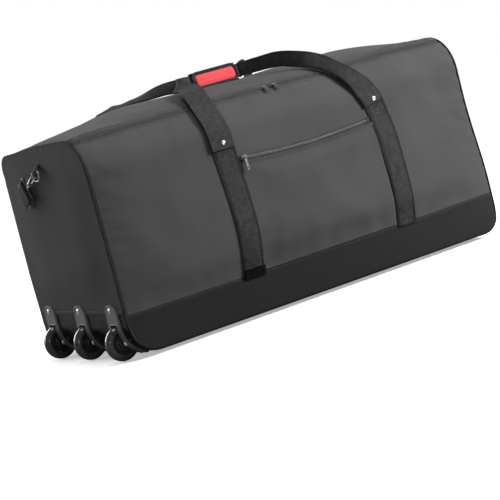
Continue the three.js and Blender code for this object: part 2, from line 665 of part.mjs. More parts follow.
function makeClip() {
  const loop = [
    [1.8, 26], [1.8, 10], [5.5, 3.5], [8.5, -2.4], [12.5, -2.4], [14.6, 2], [12, 8], [6.2, 14], [4.4, 19], [4.4, 26],
  ];
  const across = at(0, 1, 0);
  add('clip_tab', 'webbing', ribbon(
    loop.map(([out, up]) => [at(-HALF_LENGTH - out, CLIP_Y, CLIP_Z + up), across, 15]), 1.6,
  ));
  const ring = add('d_ring', 'dark_metal', facePlate(ringShape(), 3.4));
  ring.position.set(CLIP_X, CLIP_Y, CLIP_Z);
  const clip = new THREE.Group();
  clip.position.set(CLIP_X, CLIP_Y, CLIP_Z);
  clip.rotation.set(CLIP_LEAN, 0, 0);
  bag.add(clip);
  const hang = RING_WIRE / 2 - RING_RADIUS;
  const hook = new THREE.ExtrudeGeometry(hookShape(), { depth: 4, bevelEnabled: false, curveSegments: 10 });
  add('snap_hook', 'dark_metal', hook.translate(0, 0, -2).rotateX(halfTurn).translate(0, 0, hang), clip);
  add('hook_gate', 'steel', new THREE.BoxGeometry(2.8, 3.6, 21).translate(-6, 0, hang - 13.9), clip);
  const eye = facePlate(slot(-59, -42.4, 27, 3.5), 3.4);
  add('strap_eye', 'dark_metal', eye.translate(0, 0, hang), clip);
  const stub = [
    [2.4, -88], [2.4, -66], [4.4, -60], [4.4, -55], [0, -50.6], [-4.4, -55], [-4.4, -60], [-2.4, -66], [-2.4, -88],
  ];
  add('strap_stub', 'webbing', ribbon(stub.map(([out, up]) => [at(out, 0, hang + up), across, 44]), 1.6), clip);
  const slider = facePlate(slot(-80, -66, 27, 3.5), 2.4);
  add('strap_slider', 'dark_metal', slider.translate(-5.2, 0, hang), clip);
}

// ---- pull handle on the plain end ----
function makePullHandle() {
  const x = HALF_LENGTH + 2.2;
  add('pull_handle', 'webbing', ribbon([
    [at(x, 0, 175), at(0, 1, 0), 38], [at(x, 0, 205), at(0, 1, 0), 38],
    [at(x + 16, 0, 232), at(0, 1, 0), 34], [at(x + 20, 0, 270), at(0, 1, 0), 32],
    [at(x + 16, 0, 308), at(0, 1, 0), 34], [at(x, 0, 335), at(0, 1, 0), 38],
    [at(x, 0, 365), at(0, 1, 0), 38],
  ]));
}

makePanels();
makeBand('front_base_band', false);
makeBand('back_base_band', true);
makeBase();
makeEnds();
makePocket();
makeStraps();
makeHandle('front_handle', -1);
makeHandle('back_handle', 1);
makeGrip();
wheelYs.forEach((y, i) => {
  makeHousing(i + 1, y);
  makeWheel(i + 1, y);
  makePlateRivets(i + 1, y);
});
makeSlider('main_left', -12, ZIP_RUN, 22, 0);
makeSlider('main_right', 12, ZIP_RUN, 22, 0);
makeSlider('pocket', -128, POCKET_TOP_Z + 5, 26, LAYER_GAP + 1.6);
makeClip();
makePullHandle();

export default bag;
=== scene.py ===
import math

import bmesh
import bpy
from mathutils import Matrix, Vector, noise


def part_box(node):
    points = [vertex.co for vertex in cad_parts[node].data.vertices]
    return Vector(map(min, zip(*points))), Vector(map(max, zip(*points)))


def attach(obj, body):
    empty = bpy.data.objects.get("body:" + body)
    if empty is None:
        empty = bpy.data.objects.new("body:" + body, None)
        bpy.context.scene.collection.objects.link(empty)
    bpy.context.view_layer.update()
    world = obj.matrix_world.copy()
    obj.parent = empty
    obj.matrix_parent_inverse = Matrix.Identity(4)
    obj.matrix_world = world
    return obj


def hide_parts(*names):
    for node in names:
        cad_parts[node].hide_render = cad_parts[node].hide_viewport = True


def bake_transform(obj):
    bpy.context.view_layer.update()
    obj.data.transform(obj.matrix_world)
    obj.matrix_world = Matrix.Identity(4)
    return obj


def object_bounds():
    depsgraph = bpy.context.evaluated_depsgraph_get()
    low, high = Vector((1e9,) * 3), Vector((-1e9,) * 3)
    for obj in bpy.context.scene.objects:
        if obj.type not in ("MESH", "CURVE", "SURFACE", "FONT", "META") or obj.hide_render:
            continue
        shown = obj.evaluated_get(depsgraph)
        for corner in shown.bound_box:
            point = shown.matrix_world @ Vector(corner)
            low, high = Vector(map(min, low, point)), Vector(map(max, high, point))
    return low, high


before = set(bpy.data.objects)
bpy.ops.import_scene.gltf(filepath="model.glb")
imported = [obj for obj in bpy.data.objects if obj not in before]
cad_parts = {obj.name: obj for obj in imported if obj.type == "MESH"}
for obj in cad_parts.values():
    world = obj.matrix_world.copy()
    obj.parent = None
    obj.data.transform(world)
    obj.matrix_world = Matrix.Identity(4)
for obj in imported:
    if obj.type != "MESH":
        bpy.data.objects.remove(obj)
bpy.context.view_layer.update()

# Camera and lamps, in metres, degrees and watts, with the lens in millimetres. A lamp has its place,
# aim, size and power.
CAMERA_TURN, CAMERA_LIFT, CAMERA_ROLL = -29.83, 6.52, -14.72
CAMERA_AIM, CAMERA_DISTANCE, CAMERA_LENS = (-0.049, 0, 0.10275), 3.8764, 134.13
LAMPS = {
    "key": ((2.1, -1.8, 1.35), (0, 0, 0.25), 1.1, 136),
    "wheel_glint": ((-1.3, -1.6, 0.35), (-0.45, -0.05, 0.05), 0.14, 1.6),
    "end_fill": ((-1.8, 1.5, 0.6), (-0.45, 0, 0.15), 0.9, 9),
    "back_fill": ((-0.8, 2.2, 1.0), (0, 0, 0.25), 1.6, 30),
}
OVERHEAD_POWER, OVERHEAD_SPREAD, OVERHEAD_AIM = 1.5, 40, (-0.1, 0.12, -1)

# The materials by name, made by make_looks; SLOT_OF gives a slot name for some of them, though no piece is
# put in a slot.
LOOKS = {}
SLOT_OF = {"coil": "zip", "shaded_main_zip_coil": "zip", "zip_tape": "zip", "cup": "plate", "clip_plastic": "dark_metal",
           "pull_metal": "dark_metal", "clip_webbing": "webbing", "bound_end_painted_shade": "webbing", "thread": "webbing"}

# Rolling duffel bag. Sizes below are millimetres; every mesh is made in metres.
MM = 0.001
HALF_LENGTH = 455
HALF_DEPTH = 187
HEIGHT = 431
BACK_SPREAD = 16
TOP_RADIUS = 75
SIDE_PUFF = 22
TOP_CROWN = 24
CROWN_DIP = 9
DIP_X = -35
DIP_REACH = 120
WHEEL_CORNER = 58
PLAIN_CORNER = 42
PATCH_TOP = 91
PATCH_END_X = -388
BAND_TOP = 81
PLAIN_BAND_TOP = 82
ZIP_ANGLE = math.radians(60)
ZIP_HALF = 7
WEBBING = 52
STRAP_LEFT_X = -166
STRAP_RIGHT_X = 215
STRAP_LEAN = 12
BACK_STRAP_LEFT_X = -212
STRAP_FOOT = 76
STRAP_SEWN = 352
RIVET_Z = 345
POCKET_TOP = 301
WHEEL_X = -451
WHEEL_Z = 28
WHEEL_RADIUS = 35.5
WHEEL_YS = (-133, 8, 149)
PLATE_TOP = 105
GRIP_START = -85
GRIP_END = 23
GRIP_Y = -6
GRIP_Z = 468.5
GRIP_TILT = math.radians(78)
GRIP_HALF = 18.5
GRIP_WEBBING = 28
CLIP_Y = 16
CLIP_Z = 379
CLIP_LEAN = math.radians(62)
CLIP_X = -465.5
SEAM_INSET = 3.4                 # the panels stop this far short of an end seam
SHEET = 3                        # thickness of a panel
MAIN_ZIP_HALF = 436              # half the length of the main zip's coil
POCKET_ZIP_START = STRAP_LEFT_X + 27
POCKET_ZIP_END = STRAP_RIGHT_X - 33
POCKET_ZIP_SAG = 7
END_INSET = 2.6                  # the end panels stop this far inside their piping
STRAP_OUT, STRAP_THICK = 1.4, 1.7
STRAP_STITCH_OUT = 3.3
STRAP_RIVET_OUT, STRAP_RIVET_RADIUS = 6.7, 4.2
STITCH_INSET = 19.5              # the inner rows of stitching on a strap, from its middle
STITCH_BOX = 38                  # height of a strap's crossed box of stitching
HANDLE_LEVEL = 5.1               # a handle's sewn end stands this far off the skin
PLATE_HALF = 26.5
PLATE_RIVET_INSET, PLATE_RIVET_RADIUS = 11, 5.5
PLATE_FACE = 3.9                 # the wheel plate's outer face, off the bag
WINDOW_HALF = 13.6
CUP_RADIUS = 38.8
CUP_HALF = 13.4
TYRE_HALF = 11
D_RING_RADIUS = 16.5
D_RING_WIRE = 1.6

SIDE_RUN = HEIGHT - TOP_RADIUS
ARC_RUN = TOP_RADIUS * math.pi / 2
SECTION = 2 * SIDE_RUN + 2 * ARC_RUN + 2 * (HALF_DEPTH - TOP_RADIUS)
ZIP_RUN = SIDE_RUN + TOP_RADIUS * ZIP_ANGLE
CORNER_X = WHEEL_CORNER - HALF_LENGTH
PLAIN_X = HALF_LENGTH - PLAIN_CORNER
SEAM_X = HALF_LENGTH - SEAM_INSET
GRIP_ACROSS = Vector((0, math.cos(GRIP_TILT), math.sin(GRIP_TILT)))
GRIP_NORMAL = Vector((0, -math.sin(GRIP_TILT), math.cos(GRIP_TILT)))
PLATE_RUN = PLATE_TOP - WHEEL_CORNER + WHEEL_CORNER * math.radians(83)


# ---- camera, floor and light ----
def make_camera():
    turn, lift, roll = (math.radians(a) for a in (CAMERA_TURN, CAMERA_LIFT, CAMERA_ROLL))
    back = Vector((math.sin(turn) * math.cos(lift), -math.cos(turn) * math.cos(lift), math.sin(lift)))
    right = (-back).cross(Vector((0, 0, 1))).normalized()
    up = right.cross(-back)
    side = right * math.cos(roll) + up * math.sin(roll)
    head = up * math.cos(roll) - right * math.sin(roll)
    place = Vector(CAMERA_AIM) + back * CAMERA_DISTANCE
    data = bpy.data.cameras.new("camera")
    data.lens, data.sensor_width, data.clip_end = CAMERA_LENS, 36, 60
    camera = bpy.data.objects.new("camera", data)
    bpy.context.collection.objects.link(camera)
    camera.matrix_world = Matrix.Translation(place) @ Matrix((side, head, back)).transposed().to_4x4()
    bpy.context.scene.camera = camera


def area_light(name, place, aim, size, power):
    data = bpy.data.lights.new(name, "AREA")
    data.shape, data.size, data.energy = "DISK", size, power
    lamp = bpy.data.objects.new(name, data)
    bpy.context.collection.objects.link(lamp)
    lamp.location = place
    lamp.rotation_euler = (Vector(aim) - Vector(place)).to_track_quat("-Z", "Y").to_euler()


def make_floor():
    """A pale floor that is lighter to the camera than to the bag."""
    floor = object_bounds()[0][2] - 0.0005
    bpy.ops.mesh.primitive_circle_add(vertices=96, radius=14, fill_type="NGON", location=(0, 0, floor))
    disc = bpy.context.object
    disc.name = "studio_floor"
    material = new_material("floor_paint", (0.95, 0.95, 0.95), 0.9)
    seen = material.node("LightPath").outputs["Is Camera Ray"]
    tone = material.math("ADD", material.math("MULTIPLY", seen, 0.75), 0.2)
    material.link(tone, material.bsdf.inputs["Base Color"])
    material.bsdf.inputs["Emission Color"].default_value = (1, 1, 1, 1)
    material.link(material.math("MULTIPLY", seen, 0.4), material.bsdf.inputs["Emission Strength"])
    disc.data.materials.append(material.mat)


def make_world():
    """A background that is white to the camera and a dim even light to the bag."""
    world = bpy.data.worlds.new("studio")
    bpy.context.scene.world = world
    world.use_nodes = True
    nodes, links = world.node_tree.nodes, world.node_tree.links
    ray = nodes.new("ShaderNodeLightPath")
    mix = nodes.new("ShaderNodeMix")
    mix.inputs["A"].default_value, mix.inputs["B"].default_value = 0.2, 1.0
    links.new(ray.outputs["Is Camera Ray"], mix.inputs["Factor"])
    links.new(mix.outputs["Result"], nodes["Background"].inputs["Strength"])
    nodes["Background"].inputs["Color"].default_value = (1, 1, 1, 1)


def make_lamps():
    data = bpy.data.lights.new("overhead", "SUN")
    data.energy, data.angle = OVERHEAD_POWER, math.radians(OVERHEAD_SPREAD)
    overhead = bpy.data.objects.new("overhead", data)
    bpy.context.collection.objects.link(overhead)
    overhead.rotation_euler = Vector(OVERHEAD_AIM).to_track_quat("-Z", "Y").to_euler()
    for name, (place, aim, size, power) in LAMPS.items():
        area_light(name, place, aim, size, power)


# ---- node materials ----
class Look:
    """A material with its node tree at hand; node() adds a node and link() joins two sockets."""

    def __init__(self, name):
        self.mat = bpy.data.materials.new(name)
        self.mat.use_nodes = True
        self.tree = self.mat.node_tree
        self.bsdf = self.tree.nodes["Principled BSDF"]
        self.coords = self.tree.nodes.new("ShaderNodeTexCoord")

    def node(self, kind, **values):
        made = self.tree.nodes.new("ShaderNode" + kind)
        for key, value in values.items():
            if hasattr(made, key):
                setattr(made, key, value)
            else:
                made.inputs[key.replace("_", " ")].default_value = value
        return made

    def link(self, source, target):
        self.tree.links.new(source, target)

    def set(self, **values):
        for key, value in values.items():
            self.bsdf.inputs[key.replace("_", " ")].default_value = value

    def roughen(self, value):
        self.link(value, self.bsdf.inputs["Roughness"])

    def math(self, operation, a, b=0.0):
        made = self.tree.nodes.new("ShaderNodeMath")
        made.operation = operation
        for index, value in enumerate((a, b)):
            if isinstance(value, (int, float)):
                made.inputs[index].default_value = value
            else:
                self.link(value, made.inputs[index])
        return made.outputs[0]

    def noise(self, scale, detail=3, source="Object", stretch=(1, 1, 1)):
        place = self.node("Mapping", Scale=stretch)
        self.link(self.coords.outputs[source], place.inputs["Vector"])
        made = self.node("TexNoise", Scale=scale, Detail=detail)
        self.link(place.outputs["Vector"], made.inputs["Vector"])
        return made.outputs["Fac"]

    def span(self, value, low, high):
        made = self.node("MapRange")
        made.inputs["To Min"].default_value, made.inputs["To Max"].default_value = low, high
        made.inputs["From Min"].default_value, made.inputs["From Max"].default_value = 0.3, 0.7
        self.link(value, made.inputs["Value"])
        return made.outputs["Result"]

    def shade(self, colour, factor):
        """The base colour times a factor that varies over the surface."""
        made = self.tree.nodes.new("ShaderNodeMix")
        made.data_type, made.blend_type = "RGBA", "MULTIPLY"
        made.inputs[0].default_value = 1
        made.inputs[6].default_value = (*colour, 1)
        self.link(factor, made.inputs[7])
        self.link(made.outputs[2], self.bsdf.inputs["Base Color"])

    def bump(self, height, distance, strength=1.0):
        made = self.node("Bump", Distance=distance, Strength=strength)
        self.link(height, made.inputs["Height"])
        last = self.bsdf.inputs["Normal"].links
        if last:
            self.link(last[0].from_socket, made.inputs["Normal"])
        self.link(made.outputs["Normal"], self.bsdf.inputs["Normal"])


def new_material(name, colour, rough, metal=0.0):
    look = Look(name)
    look.set(Base_Color=(*colour, 1), Roughness=rough, Metallic=metal)
    return look


def threads(look, pitch, slant=0.0):
    """Height of a plain weave from the metric UV map: warp and weft pass over each other in turn."""
    turn = look.node("Mapping", Rotation=(0, 0, slant), Scale=(1 / pitch, 1 / pitch, 1))
    look.link(look.coords.outputs["UV"], turn.inputs["Vector"])
    split = look.node("SeparateXYZ")
    look.link(turn.outputs["Vector"], split.inputs["Vector"])
    u, v = split.outputs["X"], split.outputs["Y"]
    across = look.math("ABSOLUTE", look.math("SINE", look.math("MULTIPLY", u, math.pi)))
    along = look.math("ABSOLUTE", look.math("SINE", look.math("MULTIPLY", v, math.pi)))
    order = look.math("ADD", look.math("FLOOR", u), look.math("FLOOR", v))
    over = look.math("GREATER_THAN", look.math("MODULO", look.math("ABSOLUTE", order), 2), 0.5)
    under = look.math("SUBTRACT", 1, over)
    high = look.math("ADD", look.math("MULTIPLY", across, over), look.math("MULTIPLY", along, under))
    return look.math("MULTIPLY", high, look.math("MULTIPLY", across, along))


def woven(name, colour, pitch=0.0009, rough=0.85, sheen=0.05, mottle=0.12):
    """Polyester cloth: plain weave, uneven threads, faint cloudiness and a soft sheen."""
    look = new_material(name, colour, rough)
    weave = threads(look, pitch)
    slub = look.noise(260, 2, "UV", (1, 5, 1))
    cloud = look.noise(5.5, 4)
    # The weave's hollows are painted a little darker than its crowns, as painted shade; the slub and cloud
    # are random tone.
    tone = look.math("ADD", look.span(weave, 0.86, 1.06), look.span(slub, -mottle / 2, mottle / 2))
    look.shade(colour, look.math("MULTIPLY", tone, look.span(cloud, 1 - mottle, 1 + mottle)))
    look.bump(look.noise(70, 3), 0.0004, 0.35)
    look.bump(weave, 0.00016, 0.55)
    look.set(Sheen_Weight=sheen, Sheen_Roughness=0.45, Specular_IOR_Level=0.22)
    look.roughen(look.span(slub, rough - 0.06, min(rough + 0.08, 1)))
    return look.mat


def webbed(name, colour, pitch=0.0021, sheen=0.04, gloss=0.25):
    """Heavy webbing: fat yarns in diagonal rows, the yarn crowns painted paler than their hollows as painted
    shade, with random worn flecks.
    """
    look = new_material(name, colour, 0.78)
    yarn = threads(look, pitch, math.radians(45))
    rib = threads(look, pitch * 0.5)
    wear = look.noise(95, 4)
    fleck = look.noise(330, 3)
    worn = look.math("MULTIPLY", look.span(wear, 0.7, 1.4), look.span(fleck, 0.6, 1.5))
    # Painted shade: the colour follows the yarn height, paler on the crowns and darker in the hollows; the
    # worn flecks are random.
    look.shade(colour, look.math("MULTIPLY", look.span(yarn, 0.65, 1.3), worn))
    look.bump(yarn, 0.0005, 0.8)
    look.bump(rib, 0.0002, 0.4)
    look.set(Sheen_Weight=sheen, Specular_IOR_Level=gloss)
    return look.mat


def coated(name, colour):
    """Smooth waterproof coating over cloth: the weave telegraphs faintly under a glossy film."""
    look = new_material(name, colour, 0.3)
    look.shade(colour, look.span(look.noise(9, 5), 0.75, 1.35))
    look.roughen(look.span(look.noise(24, 5), 0.13, 0.26))
    look.bump(look.noise(16, 3), 0.0016, 0.5)
    look.bump(threads(look, 0.0011), 0.0001, 0.25)
    look.set(Specular_IOR_Level=0.13, Coat_Weight=0.05, Coat_Roughness=0.2)
    return look.mat


def moulded(name, colour, rough=0.45, grain=520):
    """Moulded plastic with a fine spark-eroded grain, scuffed a little."""
    look = new_material(name, colour, rough)
    scuff = look.noise(60, 6)
    look.shade(colour, look.span(scuff, 0.85, 1.15))
    look.roughen(look.span(scuff, rough - 0.08, rough + 0.12))
    look.bump(look.noise(grain, 2), 0.0002, 0.35)
    return look.mat


def metallic(name, colour, rough=0.25, stain=0.15):
    look = new_material(name, colour, rough, 1.0)
    look.shade(colour, look.span(look.noise(140, 4), 1 - stain, 1.05))
    look.roughen(look.span(look.noise(420, 3), rough - 0.08, rough + 0.14))
    look.bump(look.noise(900, 2), 0.00006, 0.3)
    return look.mat


def rubbery(name, colour):
    """Cast polyurethane tread: glossy, with dust and fine scratches round its running surface."""
    look = new_material(name, colour, 0.22)
    dust = look.noise(85, 6)
    look.shade(colour, look.span(dust, 0.7, 1.9))
    look.roughen(look.span(dust, 0.1, 0.28))
    look.bump(look.noise(300, 3), 0.0001, 0.3)
    look.set(Coat_Weight=0.5, Coat_Roughness=0.08)
    return look.mat


# ---- mesh building ----
def vec(x, y, z):
    return Vector((x * MM, y * MM, z * MM))


def steps(start, end, count):
    return [start + (end - start) * i / count for i in range(count + 1)]


def piece(name, verts, faces, body, look, replaces=(), uvs=None, smooth=True):
    """A finished mesh piece: made, given its material and set riding on its body."""
    mesh = bpy.data.meshes.new(name)
    mesh.from_pydata([tuple(v) for v in verts], [], faces)
    layer = mesh.uv_layers.new(name="weave")
    for loop in mesh.loops:
        co = mesh.vertices[loop.vertex_index].co
        layer.data[loop.index].uv = uvs[loop.vertex_index] if uvs else (co.x + co.y * 0.7, co.z + co.y * 0.7)
    mesh.materials.append(LOOKS[look])
    mesh.polygons.foreach_set("use_smooth", [smooth] * len(mesh.polygons))
    made = bpy.data.objects.new(name, mesh)
    bpy.context.collection.objects.link(made)
    if body:
        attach(made, body)
    SLOT_OF.get(look, look)
    if replaces:
        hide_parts(*replaces)
    return made


def metric_uvs(rows):
    """A point's distance along its column and its row, in metres, so that threads keep their size."""
    uvs = []
    down = [0.0] * len(rows[0])
    for i, row in enumerate(rows):
        along = 0.0
        for j, point in enumerate(row):
            if j:
                along += (point - row[j - 1]).length
            if i:
                down[j] += (point - rows[i - 1][j]).length
            uvs.append((along, down[j]))
    return uvs


def grid_faces(height, width, flip=False, offset=0, loop=False, ring=False):
    """Faces between rows of points; loop joins each row's ends and ring joins the last row to the first."""
    faces = []
    for i in range(height if ring else height - 1):
        below = (i + 1) % height
        for j in range(width if loop else width - 1):
            k = (j + 1) % width
            face = [i * width + j, i * width + k, below * width + k, below * width + j]
            faces.append([f + offset for f in (face[::-1] if flip else face)])
    return faces


def cloth(name, outer, inner, body, look, replaces=(), bevel=0.0):
    """A closed sheet between two grids of points that match row for row."""
    high, wide = len(outer), len(outer[0])
    verts = [p for row in outer for p in row] + [p for row in inner for p in row]
    count = high * wide
    faces = grid_faces(high, wide) + grid_faces(high, wide, True, count)
    rim = list(range(wide)) + [i * wide + wide - 1 for i in range(1, high)]
    rim += [(high - 1) * wide + j for j in range(wide - 2, -1, -1)]
    rim += [i * wide for i in range(high - 2, 0, -1)]
    for a, b in zip(rim, rim[1:] + rim[:1]):
        faces.append([b, a, a + count, b + count])
    flat = metric_uvs(outer)
    made = piece(name, verts, faces, body, look, replaces, flat + flat)
    mend(made.data)
    if bevel:
        soften(made, bevel, 2)
    return made


def mend(mesh, weld=False):
    """Turns the faces outwards; weld first joins points that coincide."""
    work = bmesh.new()
    work.from_mesh(mesh)
    if weld:
        bmesh.ops.remove_doubles(work, verts=work.verts, dist=0.000005)
        bmesh.ops.dissolve_degenerate(work, edges=work.edges, dist=0.000002)
    bmesh.ops.recalc_face_normals(work, faces=work.faces)
    work.to_mesh(mesh)
    work.free()


def soften(obj, width, segments=3, angle=40):
    """Rounds the hard edges, then keeps what is left of them crisp."""
    rounding = obj.modifiers.new("edges", "BEVEL")
    rounding.width, rounding.segments, rounding.limit_method = width, segments, "ANGLE"
    rounding.angle_limit = math.radians(angle)
    rounding.harden_normals = True


def tube(name, points, radius, body, look, sides=10, looped=False, replaces=(), swell=None):
    """A round cord along points; swell(i) gives each ring's own radius factor."""
    rings, uvs = [], []
    count = len(points)
    normal = Vector((0, 0, 1))
    along = 0.0
    for i, point in enumerate(points):
        before = points[i - 1] if (i or looped) else point
        after = points[(i + 1) % count] if (i < count - 1 or looped) else point
        tangent = (after - before).normalized()
        normal = (normal - tangent * normal.dot(tangent)).normalized()
        side = tangent.cross(normal)
        size = radius * (swell(i) if swell else 1)
        if i:
            along += (point - points[i - 1]).length
        for k in range(sides):
            turn = 2 * math.pi * k / sides
            rings.append(point + (normal * math.cos(turn) + side * math.sin(turn)) * size)
            uvs.append((radius * turn, along))
    faces = grid_faces(count, sides, loop=True, ring=looped)
    if not looped:
        faces += [list(range(sides))[::-1], [(count - 1) * sides + k for k in range(sides)]]
    made = piece(name, rings, faces, body, look, replaces, uvs)
    mend(made.data)


def lathe(name, profile, centre, axis, body, look, count=64, replaces=()):
    """A closed profile of [radius, height] in millimetres turned about an axis."""
    axis = Vector(axis).normalized()
    side = axis.orthogonal().normalized()
    other = axis.cross(side)
    verts = []
    for i in range(count):
        turn = 2 * math.pi * i / count
        spoke = side * math.cos(turn) + other * math.sin(turn)
        verts += [centre + (spoke * r + axis * h) * MM for r, h in profile]
    faces = grid_faces(count, len(profile), loop=True, ring=True)
    made = piece(name, verts, faces, body, look, replaces)
    mend(made.data, weld=True)


def plate(name, outline, holes, thick, place, body, look, replaces=(), bevel=0.0004, smooth=True):
    """A flat plate cut from a closed outline with holes; place(a, b, depth) puts it in space."""
    work = bmesh.new()
    edges = []
    for loop in [outline] + list(holes):
        ring = [work.verts.new((a, b, 0)) for a, b in loop]
        edges += [work.edges.new((p, q)) for p, q in zip(ring, ring[1:] + ring[:1])]
    bmesh.ops.triangle_fill(work, use_beauty=True, use_dissolve=False, edges=edges)
    front = list(work.faces)
    made = bmesh.ops.extrude_face_region(work, geom=front)
    moved = {v for v in made["geom"] if isinstance(v, bmesh.types.BMVert)}
    for v in work.verts:
        v.co = place(v.co.x, v.co.y, thick / 2 if v in moved else -thick / 2)
    bmesh.ops.recalc_face_normals(work, faces=work.faces)
    mesh = bpy.data.meshes.new(name)
    work.to_mesh(mesh)
    work.free()
    verts = [v.co.copy() for v in mesh.vertices]
    faces = sorted(list(p.vertices) for p in mesh.polygons)
    bpy.data.meshes.remove(mesh)
    result = piece(name, verts, faces, body, look, replaces, smooth=smooth)
    if bevel:
        soften(result, bevel)


def arc(centre, radius, start, end, count):
    cx, cy = centre
    return [(cx + radius * math.cos(math.radians(t)), cy + radius * math.sin(math.radians(t)))
            for t in steps(start, end, count)]


def rounded_box(low_a, high_a, low_b, high_b, radius, count=5):
    loop = []
    corners = [(high_a, high_b, 0), (low_a, high_b, 90), (low_a, low_b, 180), (high_a, low_b, 270)]
    for a, b, start in corners:
        centre = (a - math.copysign(radius, a - (low_a + high_a) / 2),
                  b - math.copysign(radius, b - (low_b + high_b) / 2))
        loop += arc(centre, radius, start, start + 90, count)
    return loop


def spline(points, count):
    """Smooth points through the given ones, evenly many between each pair."""
    padded = [points[0] * 2 - points[1]] + list(points) + [points[-1] * 2 - points[-2]]
    path = []
    for i in range(1, len(padded) - 2):
        a, b, c, d = padded[i - 1:i + 3]
        for k in range(count):
            t = k / count
            path.append(0.5 * (2 * b + (c - a) * t + (2 * a - 5 * b + 4 * c - d) * t ** 2
                               + (3 * b - a - 3 * c + d) * t ** 3))
    return path + [points[-1].copy()]


class Stitches:
    """Gathers raised thread dashes for one body and makes them one piece."""

    def __init__(self, name, body, look):
        self.made = (name, body, look)
        self.verts, self.faces = [], []

    def dash(self, start, end, out, radius=0.42):
        along = (end - start).normalized()
        side = along.cross(out).normalized() * radius * MM
        rise = out.normalized() * radius * MM
        first = len(self.verts)
        mid = (start + end) / 2
        for centre, size in ((start, 0.35), (start.lerp(mid, 0.4), 1), (end.lerp(mid, 0.4), 1), (end, 0.35)):
            for a, b in ((-1, 0), (-0.6, 0.8), (0.6, 0.8), (1, 0), (0, -0.8)):
                self.verts.append(centre + side * a * size + rise * (b * size + (size - 0.9)))
        self.faces += grid_faces(4, 5, offset=first, loop=True)
        self.faces.append([first + k for k in (4, 3, 2, 1, 0)])
        self.faces.append([first + 15 + k for k in range(5)])

    def line(self, point_at, length, stitch=3.6, gap=1.2, radius=0.42):
        """Dashes along point_at(t), which gives a point and its outward direction for t in millimetres."""
        t = gap
        while t + stitch < length:
            start, out = point_at(t)
            end, _ = point_at(t + stitch)
            self.dash(start, end, out, radius)
            t += stitch + gap

    def between(self, point_at, start, end):
        """A straight row from start to end, in the two measures that point_at(a, b) takes."""
        (a0, b0), (a1, b1) = start, end
        length = math.hypot(a1 - a0, b1 - b0)
        self.line(lambda t: point_at(a0 + (a1 - a0) * t / length, b0 + (b1 - b0) * t / length), length)

    def finish(self):
        name, body, look = self.made
        return piece(name, self.verts, self.faces, body, look)


# ---- the bag's skin ----
# A place on the bag is x along it and run, the distance up the front, over the top and down the back.
def turned(run, back):
    """The run on the back that is as high as this one on the front."""
    return SECTION - run if back else run


def hump(value, middle, reach):
    return math.exp(-((value - middle) / reach) ** 2)


def near_wheels(x, reach):
    return math.exp(-(x + HALF_LENGTH) / reach)


def plain_section(run):
    """Depth and height on the bag's outline before it is filled: a box with round top edges."""
    flip = run > SECTION / 2
    s = SECTION - run if flip else run
    y, z = -HALF_DEPTH, s
    if s > SIDE_RUN + ARC_RUN:
        y, z = -(HALF_DEPTH - TOP_RADIUS) + (s - SIDE_RUN - ARC_RUN), HEIGHT
    elif s > SIDE_RUN:
        turn = (s - SIDE_RUN) / TOP_RADIUS
        y = -(HALF_DEPTH - TOP_RADIUS) - TOP_RADIUS * math.cos(turn)
        z = SIDE_RUN + TOP_RADIUS * math.sin(turn)
    return (-y if flip else y), z


def spread(z):
    return BACK_SPREAD * (1 - z / HEIGHT)


def fullness(x):
    return 1 - min(abs(x / HALF_LENGTH), 1) ** 3


def slump(x, y, z):
    """The back top corner at the wheel end is slack and hangs down."""
    return 9 * smooth_step((y - 10) / 150) * smooth_step((z - 240) / 150) * near_wheels(x, 130)


def lean_back(x, y, z):
    """The back wall stands further out towards the wheel end, where the cloth is least full."""
    return 7 * smooth_step(y / 60) * near_wheels(x, 200) * smooth_step((z - 60) / 120)


def drawn_in(x, z):
    """The seam at the handle end is drawn in above the band, and the panel bulges past it."""
    return -11 * smooth_step((z - 105) / 190) * smooth_step((x - 240) / 215)


def pinched_corner(x, run):
    """The cloth of the back top corner stands out in a tighter bend at the wheel end."""
    turn = (SECTION - run - SIDE_RUN) / TOP_RADIUS
    if not 0 < turn < math.pi / 2:
        return 0
    return 19 * math.sqrt(0.5) * math.sin(2 * turn) ** 2 * near_wheels(x, 150)


def bag_point(x, run):
    y, z = plain_section(run)
    inward = math.cos(math.pi * y / (2 * HALF_DEPTH)) ** 2
    dip = CROWN_DIP * hump(x, DIP_X, DIP_REACH) * inward
    side = 1 + SIDE_PUFF / HALF_DEPTH * fullness(x) * math.sin(math.pi * z / HEIGHT)
    rise = 1 + fullness(x) * (TOP_CROWN - dip) * inward / HEIGHT
    wide = y * side + (spread(z) if y > 0 else 0) + lean_back(x, y, z)
    pinch = pinched_corner(x, run)
    return Vector((x + drawn_in(x, z), wide + pinch, z * rise - slump(x, y, z) + pinch))


def skin_normal(x, run):
    before, after = bag_point(x, max(run - 2, 0)), bag_point(x, min(run + 2, SECTION))
    left, right = bag_point(x - 2, run), bag_point(x + 2, run)
    return (right - left).cross(after - before).normalized()


def wave(a, b, seed):
    return noise.noise(Vector((a, b, seed)))


def smooth_step(value):
    value = max(0.0, min(1.0, value))
    return value * value * (3 - 2 * value)


